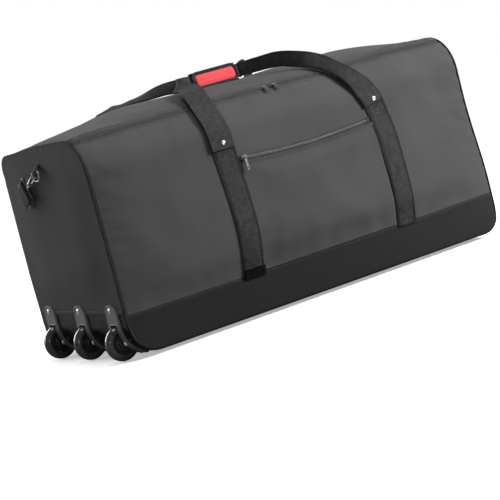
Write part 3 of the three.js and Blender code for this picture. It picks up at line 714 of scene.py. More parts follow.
def wrinkle(x, run):
    """How far the filled cloth stands off its fair surface, in millimetres."""
    from_seam = HALF_LENGTH - abs(x)
    height = min(run, SECTION - run)
    free = smooth_step(from_seam / 90) * smooth_step((height - BAND_TOP) / 90)
    soft = 3.4 * wave(x / 150, run / 110, 1.7) + 1.5 * wave(x / 52, run / 70, 4.2)
    above_base = hump(height, BAND_TOP + 22, 26) * smooth_step(from_seam / 60)
    slack = 1.6 * above_base * wave(x / 34, run / 90, 8.8)
    gather = math.exp(-from_seam / 20) * smooth_step((height - BAND_TOP) / 40)
    pucker = 0.7 * gather * math.sin(run / 3.9 + 4 * wave(run / 55, 0, 2.2)) * smooth_step(from_seam / 5)
    drag = math.exp(-from_seam / 75) * smooth_step(from_seam / 30) * smooth_step((height - 120) / 80)
    folds = 2.2 * drag * wave(x / 90, run / 26 + x / 60, 6.1)
    to_zip = abs(run - ZIP_RUN) - ZIP_HALF
    zip_pull = 0.7 * math.exp(-max(to_zip, 0) / 14) * math.sin(x / 5.1 + 3 * wave(x / 60, 0, 9.4))
    zip_pull *= smooth_step(to_zip / 4)
    belly = 6 * smooth_step((height - BAND_TOP) / 55) * hump(height, BAND_TOP + 55, 75)
    belly *= smooth_step(from_seam / 110)
    roll = -3.2 * math.exp(-from_seam / 24)
    on_top = smooth_step((height - SIDE_RUN - 40) / 90)
    packed = on_top * (9 * hump(x, -238, 80) + 5 * hump(x, 300, 85) + 4 * hump(x, -150, 50))
    beside_grip = 9 * hump(run, SECTION / 2 - 48, 34) + 6 * hump(run, SECTION / 2 + 42, 30)
    beside_grip *= hump(x, -35, 85)
    lap = smooth_step((-x - 290) / 90) + smooth_step((x - 240) / 90)
    lap *= 6 * hump(run, ZIP_RUN + 16, 9) * smooth_step(from_seam / 12)
    return (roll + belly + packed + beside_grip + lap + free * soft + slack + pucker + folds
            + zip_pull * smooth_step(from_seam / 20))


def skin(x, run, out=0.0):
    """The finished cloth at a place, in metres, or a point off it by out millimetres."""
    return (bag_point(x, run) + skin_normal(x, run) * (wrinkle(x, run) + out)) * MM


def sewn(name, xs, runs, low, high, look, replaces=(), extra=None, bevel=0.0, sag=None):
    """A layer of the bag over a patch of its skin, from out=low to out=high."""
    def place(x, run, out, puff):
        return skin(x, run + (sag(x, run) if sag else 0), out + (extra(x, run) if extra and puff else 0))
    outer = [[place(x, run, high, True) for x in xs] for run in runs]
    inner = [[place(x, run, low, False) for x in xs] for run in runs]
    cloth(name, outer, inner, "bag", look, replaces, bevel)


# ---- soft body ----
def body_columns():
    """Places along the bag, closer together towards its ends."""
    near = [SEAM_X - d for d in (0, 3, 6, 10, 14, 18, 23, 28, 34, 41, 49, 58, 68, 80)]
    inner = steps(-360, 360, 120)
    return [-x for x in near] + inner + near[::-1]


def make_shell():
    """The front panel, and the back panel with the top, which meet at the main zip."""
    edge = [0, 1.5, 3.5, 6, 9, 13]
    panels = (("front_skin", "front_panel", BAND_TOP + 0.4, ZIP_RUN - ZIP_HALF, 58),
              ("top_and_back_skin", "back_panel", ZIP_RUN + ZIP_HALF, SECTION - BAND_TOP - 0.4, 104))
    for name, node, low, high, count in panels:
        rows = [low + d for d in edge] + steps(low + 18, high - 18, count) + [high - d for d in edge[::-1]]
        sewn(name, body_columns(), rows, -SHEET, 0, "cloth", [node])


def foot(x):
    """Height of the bag's lower edge, which turns up round both corners."""
    if x < CORNER_X:
        return WHEEL_CORNER - math.sqrt(max(WHEEL_CORNER ** 2 - (CORNER_X - x) ** 2, 0))
    if x > PLAIN_X:
        return PLAIN_CORNER - math.sqrt(max(PLAIN_CORNER ** 2 - (x - PLAIN_X) ** 2, 0))
    return 0


def make_bands():
    """The dark wrap at the foot of the front and the back."""
    xs = ([-SEAM_X + d for d in (0, 0.4, 1.2, 2.4, 4, 6, 9, 13, 18, 24, 31, 39, 48)]
          + steps(CORNER_X, PLAIN_X, 110)
          + [PLAIN_X + d for d in (5, 10, 15, 19, 23, 27, 30, 33, 35.5, 37, 38.2, 38.6)])
    for name, node, back in (("front_band", "front_base_band", False), ("back_band", "back_base_band", True)):
        outer, inner = [], []
        for v in steps(0, 1, 14):
            runs = [foot(x) + 0.4 + (BAND_TOP - foot(x) - 0.4) * v for x in xs]
            proud = 0.9 * smooth_step((1 - v) / 0.08)
            outer.append([skin(x, turned(run, back), proud) for x, run in zip(xs, runs)])
            inner.append([skin(x, turned(run, back), -SHEET) for x, run in zip(xs, runs)])
        cloth(name, outer, inner, "bag", "band", [node])


def corner_station(turn):
    return CORNER_X - WHEEL_CORNER * math.cos(turn), WHEEL_CORNER * (1 - math.sin(turn))


def cross_sheet(name, stations, normals, thick, look, replaces, puff, count=70):
    """A sheet across the bag's depth through stations of (x, z); puff(i, y) lifts it."""
    outer, inner = [], []
    for i, ((x, z), (nx, nz)) in enumerate(zip(stations, normals)):
        low, high = -HALF_DEPTH + SEAM_INSET, HALF_DEPTH + spread(z) - SEAM_INSET
        ys = [low + (high - low) * t for t in steps(0, 1, count)]
        lifts = [puff(i, y) for y in ys]
        outer.append([vec(x + nx * h, y, z + nz * h) for y, h in zip(ys, lifts)])
        inner.append([vec(x - nx * thick, y, z - nz * thick) for y in ys])
    return cloth(name, outer, inner, "bag", look, replaces)


def make_base():
    """The coated patch round the wheel corner with its hem, and the rest of the base."""
    turns = steps(0, math.pi / 2, 26)
    stations = [(-HALF_LENGTH, z) for z in steps(PATCH_TOP, WHEEL_CORNER + 2, 14)]
    stations += [corner_station(t) for t in turns] + [(x, 0) for x in steps(CORNER_X + 2, PATCH_END_X, 3)]
    normals = ([(-1, 0)] * 15 + [(-math.cos(t), -math.sin(t)) for t in turns] + [(0, -1)] * 4)

    def film(i, y):
        z = stations[i][1]
        inside = smooth_step((PATCH_TOP - z) / 10) * smooth_step((HALF_DEPTH - abs(y)) / 18)
        return inside * (0.5 + 0.5 * wave(y / 26, i / 5, 3.3) + 0.35 * wave(y / 9, i / 3, 7.1))
    patch = cross_sheet("corner_patch", stations, normals, SHEET, "patch",
                        ["wheel_corner_patch"], film, count=150)
    cut_wheel_wells(patch)
    # The hem is in the same darker end cloth, painted shade like the end panels.
    hem = [(-HALF_LENGTH, z) for z in steps(PATCH_TOP + 3, PATCH_TOP - 5, 5)]
    cross_sheet("corner_hem", hem, [(-1, 0)] * 6, -0.3, "end_cloth", [],
                lambda i, y: 1.3 if 0 < i < 5 else 0.5)
    turns = steps(math.pi / 2, 0, 16)
    stations = [(x, 0) for x in steps(PATCH_END_X + 0.5, PLAIN_X - 6, 60)]
    stations += [(PLAIN_X + PLAIN_CORNER * math.cos(t), PLAIN_CORNER * (1 - math.sin(t))) for t in turns]
    stations += [(HALF_LENGTH, z) for z in steps(PLAIN_CORNER + 5, PLAIN_BAND_TOP, 5)]
    normals = [(0, -1)] * 61 + [(math.cos(t), -math.sin(t)) for t in turns] + [(1, 0)] * 6
    cross_sheet("base_skin", stations, normals, SHEET, "band", ["base_panel"], lambda i, y: 0)


def cut_wheel_wells(obj):
    """Drops the faces inside each wheel well, which the plates' rims cover."""
    work = bmesh.new()
    work.from_mesh(obj.data)
    doomed = []
    for face in work.faces:
        mid = face.calc_center_median() / MM
        for y in WHEEL_YS:
            if abs(mid.y - y) < 17 and math.hypot(mid.x - WHEEL_X, mid.z - WHEEL_Z) < 42:
                doomed.append(face)
    bmesh.ops.delete(work, geom=doomed, context="FACES")
    work.to_mesh(obj.data)
    work.free()


def make_end(name, node, sign, low):
    """An end panel: filled out a little, drawn in at its piped seam, with a few soft creases."""
    x, outer, inner = sign * HALF_LENGTH, [], []
    for run in steps(low + 0.4, SIDE_RUN + ARC_RUN - 1, 70):
        start, end = bag_point(x, run), bag_point(x, SECTION - run)
        inset = END_INSET + max(0.8 * (run - SIDE_RUN) / ARC_RUN, 0)
        z = plain_section(run)[1]
        front, behind = [], []
        for t in steps(0, 1, 72):
            place = start.y + inset + (end.y - start.y - 2 * inset) * t
            drop = slump(x, place, z) + (2.6 if run > SIDE_RUN + ARC_RUN * 0.9 else 0)
            drop -= pinched_corner(x, SECTION - run) * smooth_step(t * 2 - 1)
            edge = min(place - start.y, end.y - place, (HEIGHT - z) * 1.3, (z - low) * 1.6 + 2)
            fill = smooth_step((place - start.y) / 130) * smooth_step((end.y - place) / 130)
            fill *= smooth_step((HEIGHT - z) / 120) * smooth_step((z - low) / 90)
            flat = 1 - hump(place, 10, 120) * hump(z, 345, 90) * (sign < 0)   # behind the clip
            puff = (7 * fill + 2.2 * fill * wave(place / 110, z / 120, 5.5)) * flat
            puff += 1.3 * flat * smooth_step(edge / 14) * math.exp(-edge / 45) * wave(place / 42, z / 38, 3.1)
            puff += 0.8 * math.exp(-edge / 9) * smooth_step(edge / 3) * math.sin((place + z) / 4.2)
            seam = x + drawn_in(x, z) * (1 - smooth_step(fill * 1.6))
            front.append(vec(seam + sign * (puff + 0.2), place, z - drop))
            behind.append(vec(seam - sign * SHEET, place, z - drop))
        outer.append(front)
        inner.append(behind)
    # The end panel is in the darker copy of the grey cloth, which is painted shade.
    cloth(name, outer, inner, "bag", "end_cloth", [node])


def make_piping():
    """Bound cord round each end seam, gathered slightly by its stitching."""
    ends = ((-1, "wheel_end", CORNER_X, WHEEL_CORNER), (1, "handle_end", PLAIN_X, PLAIN_CORNER))
    for sign, name, bend_x, bend in ends:
        front = []
        for turn in steps(math.radians(80), math.radians(4), 18):
            reach = bend - 3
            front.append(vec(bend_x + sign * reach * math.cos(turn), -HALF_DEPTH + 2,
                             bend - reach * math.sin(turn)))
        x = sign * (HALF_LENGTH - 1.5)
        front += [vec(x + drawn_in(x, z), -HALF_DEPTH + 2, z) for z in steps(bend + 8, SIDE_RUN - 8, 60)]
        for run in steps(SIDE_RUN, SECTION / 2, 50):
            front.append((bag_point(x, run) - skin_normal(0, run) * 2) * MM)
        back = []
        for p in front[-2::-1]:
            z = p.z / MM
            y = spread(z) - p.y / MM
            back.append(vec(p.x / MM, y + lean_back(x, y, z), z - slump(x, y, z)))
        path = front + back
        tube(f"{name}_piping_cord", path, 1.7 * MM, "bag", "piping", 10,
             replaces=[f"{name}_piping"], swell=lambda i: 1 + 0.1 * wave(i / 2.3, 0, 4.4))


# ---- pocket and zips ----
def make_pocket():
    """The pocket panel between the front straps, filled out a little, with a hem below its zip."""
    left = STRAP_LEFT_X + WEBBING / 2 - 4
    right = STRAP_RIGHT_X - STRAP_LEAN * 0.45 - WEBBING / 2 + 4
    middle, half = (left + right) / 2, (right - left) / 2

    def fill(x, run):
        edge = min(half - abs(x - middle), (run - BAND_TOP) * 1.2, (POCKET_TOP - run) * 2 + 3)
        full = smooth_step(edge / 70)
        return 3.2 * full + 1.6 * full * wave(x / 75, run / 60, 6.6)
    xs = steps(left, right, 110)
    runs = steps(BAND_TOP + 0.6, POCKET_TOP - 1, 74)
    sewn("pocket_skin", xs, runs, 0.2, 1.2, "cloth", ["front_pocket_panel"], fill,
         sag=pocket_sag)
    hem = steps(POCKET_TOP - 8, POCKET_TOP - 0.5, 5)
    sewn("pocket_hem", xs, hem, 1.2, 2.4, "cloth", bevel=0.0003, sag=pocket_sag)


def zip_sag(x):
    """The pocket's zip hangs a little in its middle."""
    return -POCKET_ZIP_SAG * max(math.cos(math.pi * (x - 21) / 345), 0) ** 1.5


def pocket_sag(x, run):
    return zip_sag(x) * smooth_step((run - BAND_TOP) / (POCKET_TOP - BAND_TOP - 20))


def zip_parts(name, x0, x1, run_at, out, coil, replaces, tape, size=1.0, tail=0.0):
    """Two tapes with a closed coil between them; the tapes run on past the coil's ends."""
    xs = steps(x0 - tail, x1 + tail, max(int((x1 - x0) / 5), 20))
    rows = steps(-tape, tape, 8)
    outer = [[skin(x, run_at(x) + d, out + 0.5 * (abs(d) < tape - 2)) for x in xs] for d in rows]
    inner = [[skin(x, run_at(x) + d, out - 1) for x in xs] for d in rows]
    cloth(f"{name}_tape", outer, inner, "bag", "zip_tape", replaces)
    verts, faces = [], []
    pitch = 2.1 * size
    for i in range(int((x1 - x0 - 6) / pitch)):
        x = x0 + 3 + i * pitch
        run = run_at(x)
        up = (skin(x, run + 1) - skin(x, run - 1)).normalized()
        side = (skin(x + 1, run) - skin(x - 1, run)).normalized()
        normal = side.cross(up).normalized()
        base = skin(x, run, out + 0.6)
        for way in (-1, 1):
            first = len(verts)
            root = base + side * (0.5 * pitch * (way > 0)) * MM
            for step, lift, wide in ((0.1, 1.0, 0.32), (1.2, 1.15, 0.4), (2.5, 0.75, 0.38), (3.1, 0.0, 0.3)):
                centre = root + (up * way * step * size + normal * lift * size + side * way * 0.2 * step) * MM
                for a, b in ((-1, -0.8), (1, -0.8), (1, 0.6), (0, 1.1), (-1, 0.6)):
                    verts.append(centre + (side * a * wide + normal * b * 0.42) * size * MM)
            faces += grid_faces(4, 5, way < 0, first, True)
    piece(f"{name}_coil", verts, faces, "bag", coil)


def make_zips():
    # The main zip's coil wears the darker coil colour, which is painted shade.
    zip_parts("main_zip", -MAIN_ZIP_HALF, MAIN_ZIP_HALF, lambda x: ZIP_RUN, -0.6, "shaded_main_zip_coil",
              ["main_zip_tape"], tape=8, tail=15.5)
    zip_parts("pocket_zip", POCKET_ZIP_START, POCKET_ZIP_END, lambda x: POCKET_TOP + 5 + zip_sag(x), 0.9,
              "coil", ["pocket_zip_tape"], tape=6, size=0.9)


def local_place(node, along, out):
    """Turns millimetres (x, up the slope, outward) into space, about a CAD node's middle."""
    low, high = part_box(node)
    centre = (low + high) / 2
    up = Vector((0, along[0], along[1])).normalized()
    normal = Vector((0, out[0], out[1])).normalized()
    return lambda a, b, c: centre + (Vector((1, 0, 0)) * a + up * b + normal * c) * MM


def make_slider(name, along, out):
    """A zip slider: a shaped plate over the coil, with the bridge that holds its pull."""
    node, body = f"{name}_slider", f"{name}_slider_body"
    place = local_place(node, along, out)
    lower = [(-7, -2.6), (-5.4, -4.6), (3.5, -4.8), (7, -3.2)]
    outline = lower + [(a, -b) for a, b in lower[::-1]]
    plate(f"{name}_top_plate", outline, [], 1.5, lambda a, b, c: place(a, b, c + 0.4), body,
          "pull_metal", [node], 0.0005)
    bridge = [place(a, 0, c) for a, c in ((-5, 1), (-4.2, 2.5), (-1.5, 3.3), (2, 3.3), (4.6, 2.4), (5.2, 1))]
    tube(f"{name}_bridge", spline(bridge, 4), 0.8 * MM, body, "pull_metal", 8)


def make_pull(name):
    """The pull tab of a slider, in the space of its CAD node, with a slot at its lower end."""
    node, body, wide = f"{name}_pull", f"{name}_pull_body", 2.7
    points = [v.co.copy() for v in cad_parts[node].data.vertices]
    centre = sum(points, Vector()) / len(points)
    upper = [p for p in points if p.z > centre.z]
    along = centre - sum(upper, Vector()) / len(upper)
    along.x = 0
    half = along.length / MM
    along.normalize()
    side = Vector((1, 0, 0))
    out = along.cross(side)
    if out.y > 0:
        out = -out

    def place(a, b, c):
        return centre + (side * a + along * b + out * c) * MM
    outline = rounded_box(-wide, wide, -half, half, wide * 0.9, 6)
    hole = [(a * 0.55, b * 0.12 + half * 0.55)
            for a, b in rounded_box(-wide, wide, -half, half, wide * 0.5, 4)]
    eye = arc((0, -half + 2.2), 1.0, 0, 345, 11)
    plate(f"{name}_tab", outline, [eye, hole[::-1]], 1.3, place, body, "pull_metal",
          [node], 0.0003)


# ---- straps ----
def strap_skin(name, centre_at, back, node):
    """A sewn strap leg with bound edges, over the skin."""
    half, top = WEBBING / 2, STRAP_OUT + STRAP_THICK
    across = ([-half, -half + 0.8, -half + 2.2] + steps(-half + 5, half - 5, 8)
              + [half - 2.2, half - 0.8, half])
    outer, inner = [], []
    for run in steps(STRAP_FOOT, STRAP_SEWN, 80):
        place = turned(run, back)
        tight = 0.93 + 0.09 * smooth_step((run - 110) / 190)
        centre = centre_at(run)
        drift = [a * tight + 0.5 * wave(run / 9, math.copysign(3, a), 5.2) * (abs(a) > half - 3)
                 for a in across]
        outer.append([skin(centre + d, place, top - (0.9 if abs(a) > half - 1.2 else 0)
                           + 0.25 * math.cos(a / half * math.pi)) for a, d in zip(across, drift)])
        inner.append([skin(centre + d, place, STRAP_OUT) for d in drift])
    cloth(name, outer, inner, "bag", "webbing", [node])


def strap_centres():
    """The line that each strap leg is sewn along, as x at a height."""
    def right(run):
        return STRAP_RIGHT_X - STRAP_LEAN * max((run - 230) / (STRAP_SEWN - 230), 0) ** 2
    return {
        ("front", "left"): lambda run: STRAP_LEFT_X + 4 * math.sin(math.pi * (run - STRAP_FOOT) / 330) ** 2,
        ("front", "right"): right,
        ("back", "left"): lambda run: BACK_STRAP_LEFT_X, ("back", "right"): right,
    }


def make_straps(stitches):
    """Four sewn legs, each with four rows and two crossed boxes of stitching, and a rivet."""
    for (face, side), centre in strap_centres().items():
        back = face == "back"
        strap_skin(f"{face}_{side}_strap_leg", centre, back, f"{face}_strap_{side}")

        def on_strap(a, run, centre=centre, back=back):
            place = turned(run, back)
            return skin(centre(run) + a, place, STRAP_STITCH_OUT), skin_normal(centre(run), place)
        for a in (-22.5, -STITCH_INSET, STITCH_INSET, 22.5):
            stitches.line(lambda t, a=a: on_strap(a, STRAP_FOOT + t), STRAP_SEWN - STRAP_FOOT)
        for low in (STRAP_FOOT + 3, STRAP_SEWN - 44):
            left, right, high = -STITCH_INSET, STITCH_INSET, low + STITCH_BOX
            box = [(left, low), (right, low), (right, high), (left, high)]
            crossed = [((left, low), (right, high)), ((left, high), (right, low))]
            for start, end in list(zip(box, box[1:] + box[:1])) + crossed:
                stitches.between(on_strap, start, end)
        # Only the left legs get the near-black bound end, which partly paints the shade at their feet.
        if side == "left":
            end_cap(f"{face}_strap_end_cap", on_strap)
        place, x = turned(RIVET_Z, back), centre(RIVET_Z) + 1
        make_rivet(f"{face}_{side}_strap_rivet", skin(x, place, STRAP_RIVET_OUT), skin_normal(x, place),
                   STRAP_RIVET_RADIUS, [] if back else [f"front_rivet_{side}"])


def end_cap(name, on_strap):
    """The bound end of a strap leg, pressed into ridges by its rows of stitching; its near-black colour is
    partly painted shade.
    """
    rows = steps(STRAP_FOOT - 0.6, STRAP_FOOT + 18.5, 24)
    outer, inner = [], []
    for i, run in enumerate(rows):
        edge = 0.5 if 0 < i < 24 else 0.1
        places = [on_strap(a, run) for a in steps(-24.6, 24.6, 12)]
        ridge = edge + 0.3 * math.sin(run * 2.1)
        outer.append([point + out * (0.3 + ridge) * MM for point, out in places])
        inner.append([point - out * 0.6 * MM for point, out in places])
    cloth(name, outer, inner, "bag", "bound_end_painted_shade")


def make_rivet(name, centre, out, radius, replaces=()):
    """A domed rivet over a rolled washer."""
    r = radius
    profile = [[0, -0.6], [r, -0.6], [r, 0.3], [r * 0.93, 0.65], [r * 0.82, 0.55], [r * 0.76, 0.4],
               [r * 0.7, 0.9], [r * 0.55, 1.5], [r * 0.3, 1.85], [0, 1.95]]
    lathe(name, profile, centre, out, "bag", "steel", 32, replaces)


def make_seams(stitches):
    """Top-stitching beside the zips, the base band, the pocket and the corner patch."""
    def along_x(x0, run, out, back=False):
        place = turned(run, back)
        return lambda t: (skin(x0 + t, place, out), skin_normal(x0 + t, place))
    for run in (ZIP_RUN - ZIP_HALF - 3.5, ZIP_RUN + ZIP_HALF + 3.5):
        stitches.line(along_x(-430, run, 0.25), 868)
    for back in (False, True):
        for run in (BAND_TOP - 3.5, BAND_TOP - 9):
            stitches.line(along_x(-445, run, 1.15, back), 890)
    start = POCKET_ZIP_START
    stitches.line(lambda t: (skin(start + t, POCKET_TOP - 4 + zip_sag(start + t), 2.6),
                             skin_normal(start + t, POCKET_TOP)), 322)
    for x in (POCKET_ZIP_START + 6, POCKET_ZIP_END - 6):
        for start, end in (((-5, -6), (5, 8)), ((5, -6), (-5, 8))):
            def tack(t, x=x, start=start, end=end):
                f = t / 17.2
                a, b = start[0] + (end[0] - start[0]) * f, start[1] + (end[1] - start[1]) * f
                return skin(x + a, POCKET_TOP + 4 + b, 3.0), skin_normal(x, POCKET_TOP)
            stitches.line(tack, 17.2, 2.2, 0.25, 0.5)
    for z in (PATCH_TOP - 3, PATCH_TOP - 7):
        stitches.line(lambda t, z=z: (vec(-HALF_LENGTH - 0.3, -183 + t, z), Vector((-1, 0, 0))), 368)


# ---- carry handles and grip ----
def grip_point(x, across, out):
    """A point of the tilted grip: across its face and out of it, in millimetres."""
    c, s = math.cos(GRIP_TILT), math.sin(GRIP_TILT)
    return vec(x, GRIP_Y + across * c - out * s, GRIP_Z + across * s + out * c)


def strap_ribbon(name, stations, thick, body, look, replaces=(), count=7):
    """A free webbing strap through stations of (centre, direction of its width, width in millimetres)."""
    centres = spline([c for c, _, _ in stations], count)
    widths, sides = [], []
    for i in range(len(stations) - 1):
        for k in range(count):
            t = smooth_step(k / count)
            sides.append(stations[i][1].normalized().lerp(stations[i + 1][1].normalized(), t))
            widths.append(stations[i][2] + (stations[i + 1][2] - stations[i][2]) * t)
    sides.append(stations[-1][1])
    widths.append(stations[-1][2])
    outer, inner, frames = [], [], []
    for i, centre in enumerate(centres):
        tangent = (centres[min(i + 1, len(centres) - 1)] - centres[max(i - 1, 0)]).normalized()
        side = (sides[i] - tangent * sides[i].dot(tangent)).normalized()
        out = tangent.cross(side)
        half = widths[i] / 2
        frames.append((centre, side, out, half))
        across = [-1, -0.95, -0.85] + steps(-0.65, 0.65, 6) + [0.85, 0.95, 1]
        lift = [thick / 2 * (0.5 if abs(a) == 1 else 1) + 0.3 * math.cos(a * math.pi) for a in across]
        outer.append([centre + side * a * half * MM + out * h * MM for a, h in zip(across, lift)])
        inner.append([centre + side * a * half * MM - out * thick / 2 * MM for a in across])
    return frames, cloth(name, outer, inner, body, look, replaces)


def stitch_ribbon(frames, edge, stitches):
    """Stitches along a free strap beside one edge, apart from the part inside the grip."""
    def on_ribbon(t):
        i = min(int(t), len(frames) - 2)
        start, end = [centre + side * edge * half * MM + out * 1.55 * MM
                      for centre, side, out, half in frames[i:i + 2]]
        return start.lerp(end, min(t - i, 1)), frames[i][2]
    walk = 0.0
    while walk < len(frames) - 1.6:
        i = int(walk)
        gap = max((frames[min(i + 1, len(frames) - 1)][0] - frames[i][0]).length / MM, 0.5)
        start, out = on_ribbon(walk)
        end, _ = on_ribbon(min(walk + 3.4 / gap, len(frames) - 1.01))
        inside = GRIP_START + 2 < start.x / MM < GRIP_END - 2 and start.z > 0.45
        if not inside:
            stitches.dash(start, end, out)
        walk += 4.8 / gap


def make_handles(stitches):
    """Both straps run from leg to leg through the grip."""
    def face(x, run, back):
        place = turned(run, back)
        return (bag_point(x, place) + skin_normal(x, place) * HANDLE_LEVEL) * MM, Vector((1, 0, 0)), WEBBING

    def free(side, x, y, z, across, width):
        return vec(x, side * y, z), Vector((across[0], side * across[1], across[2])), width
    made = []
    for side, name in ((-1, "front"), (1, "back")):
        back = side > 0
        if back:
            left = [face(BACK_STRAP_LEFT_X, run, True) for run in (332, 345, 365, 380)]
            left += [free(side, *station) for station in (
                (-222, 158, 449, (0.95, 0.2, 0.2), 46), (-200, 122, 457, (0.95, 0.25, 0.2), 42),
                (-178, 86, 462, (0.9, 0.3, 0.25), 38), (-136, 26, 470, (0.5, 0.4, 0.7), 32))]
        else:
            left = [face(STRAP_LEFT_X, run, False) for run in (332, 345, 365, 385, 404)]
            left += [free(side, *station) for station in (
                (-160, 136, 449, (1, 0, 0.1), 48), (-149, 98, 461, (0.95, 0, 0.15), 42),
                (-145, 58, 468, (0.85, 0, 0.45), 32), (-130, 25, 473, (0.3, -0.2, 0.8), 23))]
        grip = []
        for x, apart in ((GRIP_START - 10, 6), (GRIP_START - 2, 2), ((GRIP_START + GRIP_END) / 2, 2),
                         (GRIP_END + 2, 2), (GRIP_END + 10, 6)):
            grip.append((grip_point(x, 0, -side * apart), GRIP_ACROSS, GRIP_WEBBING))
        right = [free(side, *station) for station in (
            (60, 36, 471, (0.2, 0, 1), 30), (90, 70, 471, (0.25, 0, 1), 32),
            (114, 106, 461, (0.4, 0, 0.95), 34), (136, 139, 448, (0.8, 0, 0.6), 36),
            (153, 173, 426, (0.8, 0, 0.6), 31), (172, 195, 399, (0.88, 0, 0.45), 38))]
        right += [face(STRAP_RIGHT_X - STRAP_LEAN - d, run, back)
                  for run, d in ((366, 11), (350, 3), (335, 0))]
        frames, strap = strap_ribbon(f"{name}_carry_handle", left + grip + right, 2.6, None,
                                     "webbing", [f"{name}_handle"])
        made.append(strap)
        for edge in (-0.86, 0.86):
            stitch_ribbon(frames, edge, stitches)
    for obj in made + [stitches.finish()]:
        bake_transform(obj)


def make_grip(stitches):
    """The wrap: a folded fabric channel round both straps, closed by a red padded flap with bound edges."""
    bend = [(GRIP_HALF - 0.5, 4.2), (GRIP_HALF, 2), (GRIP_HALF - 0.4, -4.6), (GRIP_HALF - 3, -6.6)]
    channel = bend + [(0, -7.0)] + [(-a, b) for a, b in bend[::-1]]
    path = spline([Vector((a, b, 0)) for a, b in channel], 5)
    outer, inner = [], []
    for x in steps(GRIP_START, GRIP_END, 40):
        ring = [(p.x, p.y + 0.35 * wave(x / 14, p.x / 9, 2.7)) for p in path]
        outer.append([grip_point(x, a, b) for a, b in ring])
        inner.append([grip_point(x, a * 0.9, b * 0.72 if b < 0 else b) for a, b in ring])
    cloth("grip_sleeve", outer, inner, "carry_handles", "webbing", ["grip_wrap"])
    make_flap(stitches)


def make_flap(stitches):
    """The flap: a thin back, a cloth pad blown up by simulation, a bound edge and a row of stitches."""
    middle, half = (GRIP_START + GRIP_END) / 2, (GRIP_END - GRIP_START) / 2

    def outline(inset, radius):
        return rounded_box(-half + inset, half - inset, -GRIP_HALF + inset, GRIP_HALF - inset, radius, 9)
    base = dense(outline(1.6, 11), 2.5)
    centre = (sum(a for a, _ in base) / len(base), sum(b for _, b in base) / len(base))
    rows = [[(centre[0] + (a - centre[0]) * k, centre[1] + (b - centre[1]) * k) for a, b in base]
            for k in (0.1, 0.5, 0.8, 0.95, 1.0)]
    verts = [grip_point(middle + a, b, h) for row, h in zip(rows, (6.5, 6.5, 6.5, 6.4, 6.0)) for a, b in row]
    verts += [grip_point(middle + a, b, 4.7) for row in rows[::-1] for a, b in row]
    faces = grid_faces(10, len(base), loop=True)
    faces += [list(range(len(base)))[::-1], [9 * len(base) + k for k in range(len(base))]]
    made = piece("grip_flap_back", verts, faces, "grip_flap_body", "webbing", ["grip_flap"])
    mend(made.data)
    pad = simulate_pad(flat_pad(half), voxel=1.3, cap=1.6)
    verts = [grip_point(middle + v.co.x, v.co.y, min(max(v.co.z, 6.2), 9.4)) for v in pad.vertices]
    faces = [list(p.vertices) for p in pad.polygons]
    made = piece("grip_red_pad", verts, faces, "grip_flap_body", "red")
    mend(made.data)
    edge = [grip_point(middle + a, b, 6.0) for a, b in outline(1.7, 11)]
    tube("grip_flap_binding", edge, 2.1 * MM, "grip_flap_body", "webbing", 10, looped=True)
    ring = [grip_point(middle + a, b, 6.6) for a, b in dense(outline(3.9, 9.5), 4.4)]
    for p, q in zip(ring, ring[1:] + ring[:1]):
        if (q - p).length > 2 * MM:
            stitches.dash(p.lerp(q, 0.12), p.lerp(q, 0.85), GRIP_NORMAL, 0.35)


def flat_pad(half):
    """The pad before it is blown up: a low closed block with round corners."""
    work = bmesh.new()
    rim = rounded_box(-half + 5, half - 6, -GRIP_HALF + 3.6, GRIP_HALF - 6.0, 9, 9)
    rings = [[work.verts.new((a, b, level)) for a, b in rim] for level in (6.3, 7.6)]
    for a, b, c, d in zip(rings[0], rings[0][1:] + rings[0][:1], rings[1][1:] + rings[1][:1], rings[1]):
        work.faces.new((a, b, c, d))
    work.faces.new(rings[0][::-1])
    work.faces.new(rings[1])
    mesh = bpy.data.meshes.new("pad_start")
    work.to_mesh(mesh)
    work.free()
    return mesh


def simulate_pad(mesh, voxel, cap):
    """Inflates a small closed mesh as cloth, drawn ten times too large, and returns it in millimetres."""
    unit = 0.01
    obj = bpy.data.objects.new("pad_work", mesh)
    bpy.context.collection.objects.link(obj)
    mesh.transform(Matrix.Scale(unit, 4))
    bpy.context.view_layer.objects.active = obj
    obj.data.remesh_voxel_size = voxel * unit
    obj.select_set(True)
    bpy.ops.object.voxel_remesh()
    start = [v.co.copy() for v in obj.data.vertices]
    cloth_mod = obj.modifiers.new("cloth", "CLOTH")
    sim = cloth_mod.settings
    sim.use_pressure, sim.uniform_pressure_force = True, 4
    sim.tension_stiffness = sim.compression_stiffness = 25
    sim.bending_stiffness, sim.quality = 1.5, 6
    sim.effector_weights.gravity = 0
    cloth_mod.point_cache.frame_start, cloth_mod.point_cache.frame_end = 1, 20
    scene = bpy.context.scene
    for number in range(1, 21):
        scene.frame_set(number)
    solved = obj.evaluated_get(bpy.context.evaluated_depsgraph_get()).to_mesh()
    ends = [v.co.copy() for v in solved.vertices]
    obj.evaluated_get(bpy.context.evaluated_depsgraph_get()).to_mesh_clear()
    obj.modifiers.clear()
    scene.frame_set(1)
    for vertex, first, last in zip(obj.data.vertices, start, ends):
        shift = last - first
        limit = cap * unit
        vertex.co = first + (shift if shift.length <= limit else shift * (limit / shift.length))
    result = obj.data
    bpy.data.objects.remove(obj)
    result.transform(Matrix.Scale(1 / unit, 4))
    return result


# ---- wheels ----
def plate_station(down):
    """A point of the plate's line down the end face and round the corner, with its outward direction."""
    straight = PLATE_TOP - WHEEL_CORNER
    if down <= straight:
        return -HALF_LENGTH, PLATE_TOP - down, -1.0, 0.0
    turn = (down - straight) / WHEEL_CORNER
    nx, nz = -math.cos(turn), -math.sin(turn)
    return CORNER_X + WHEEL_CORNER * nx, WHEEL_CORNER + WHEEL_CORNER * nz, nx, nz


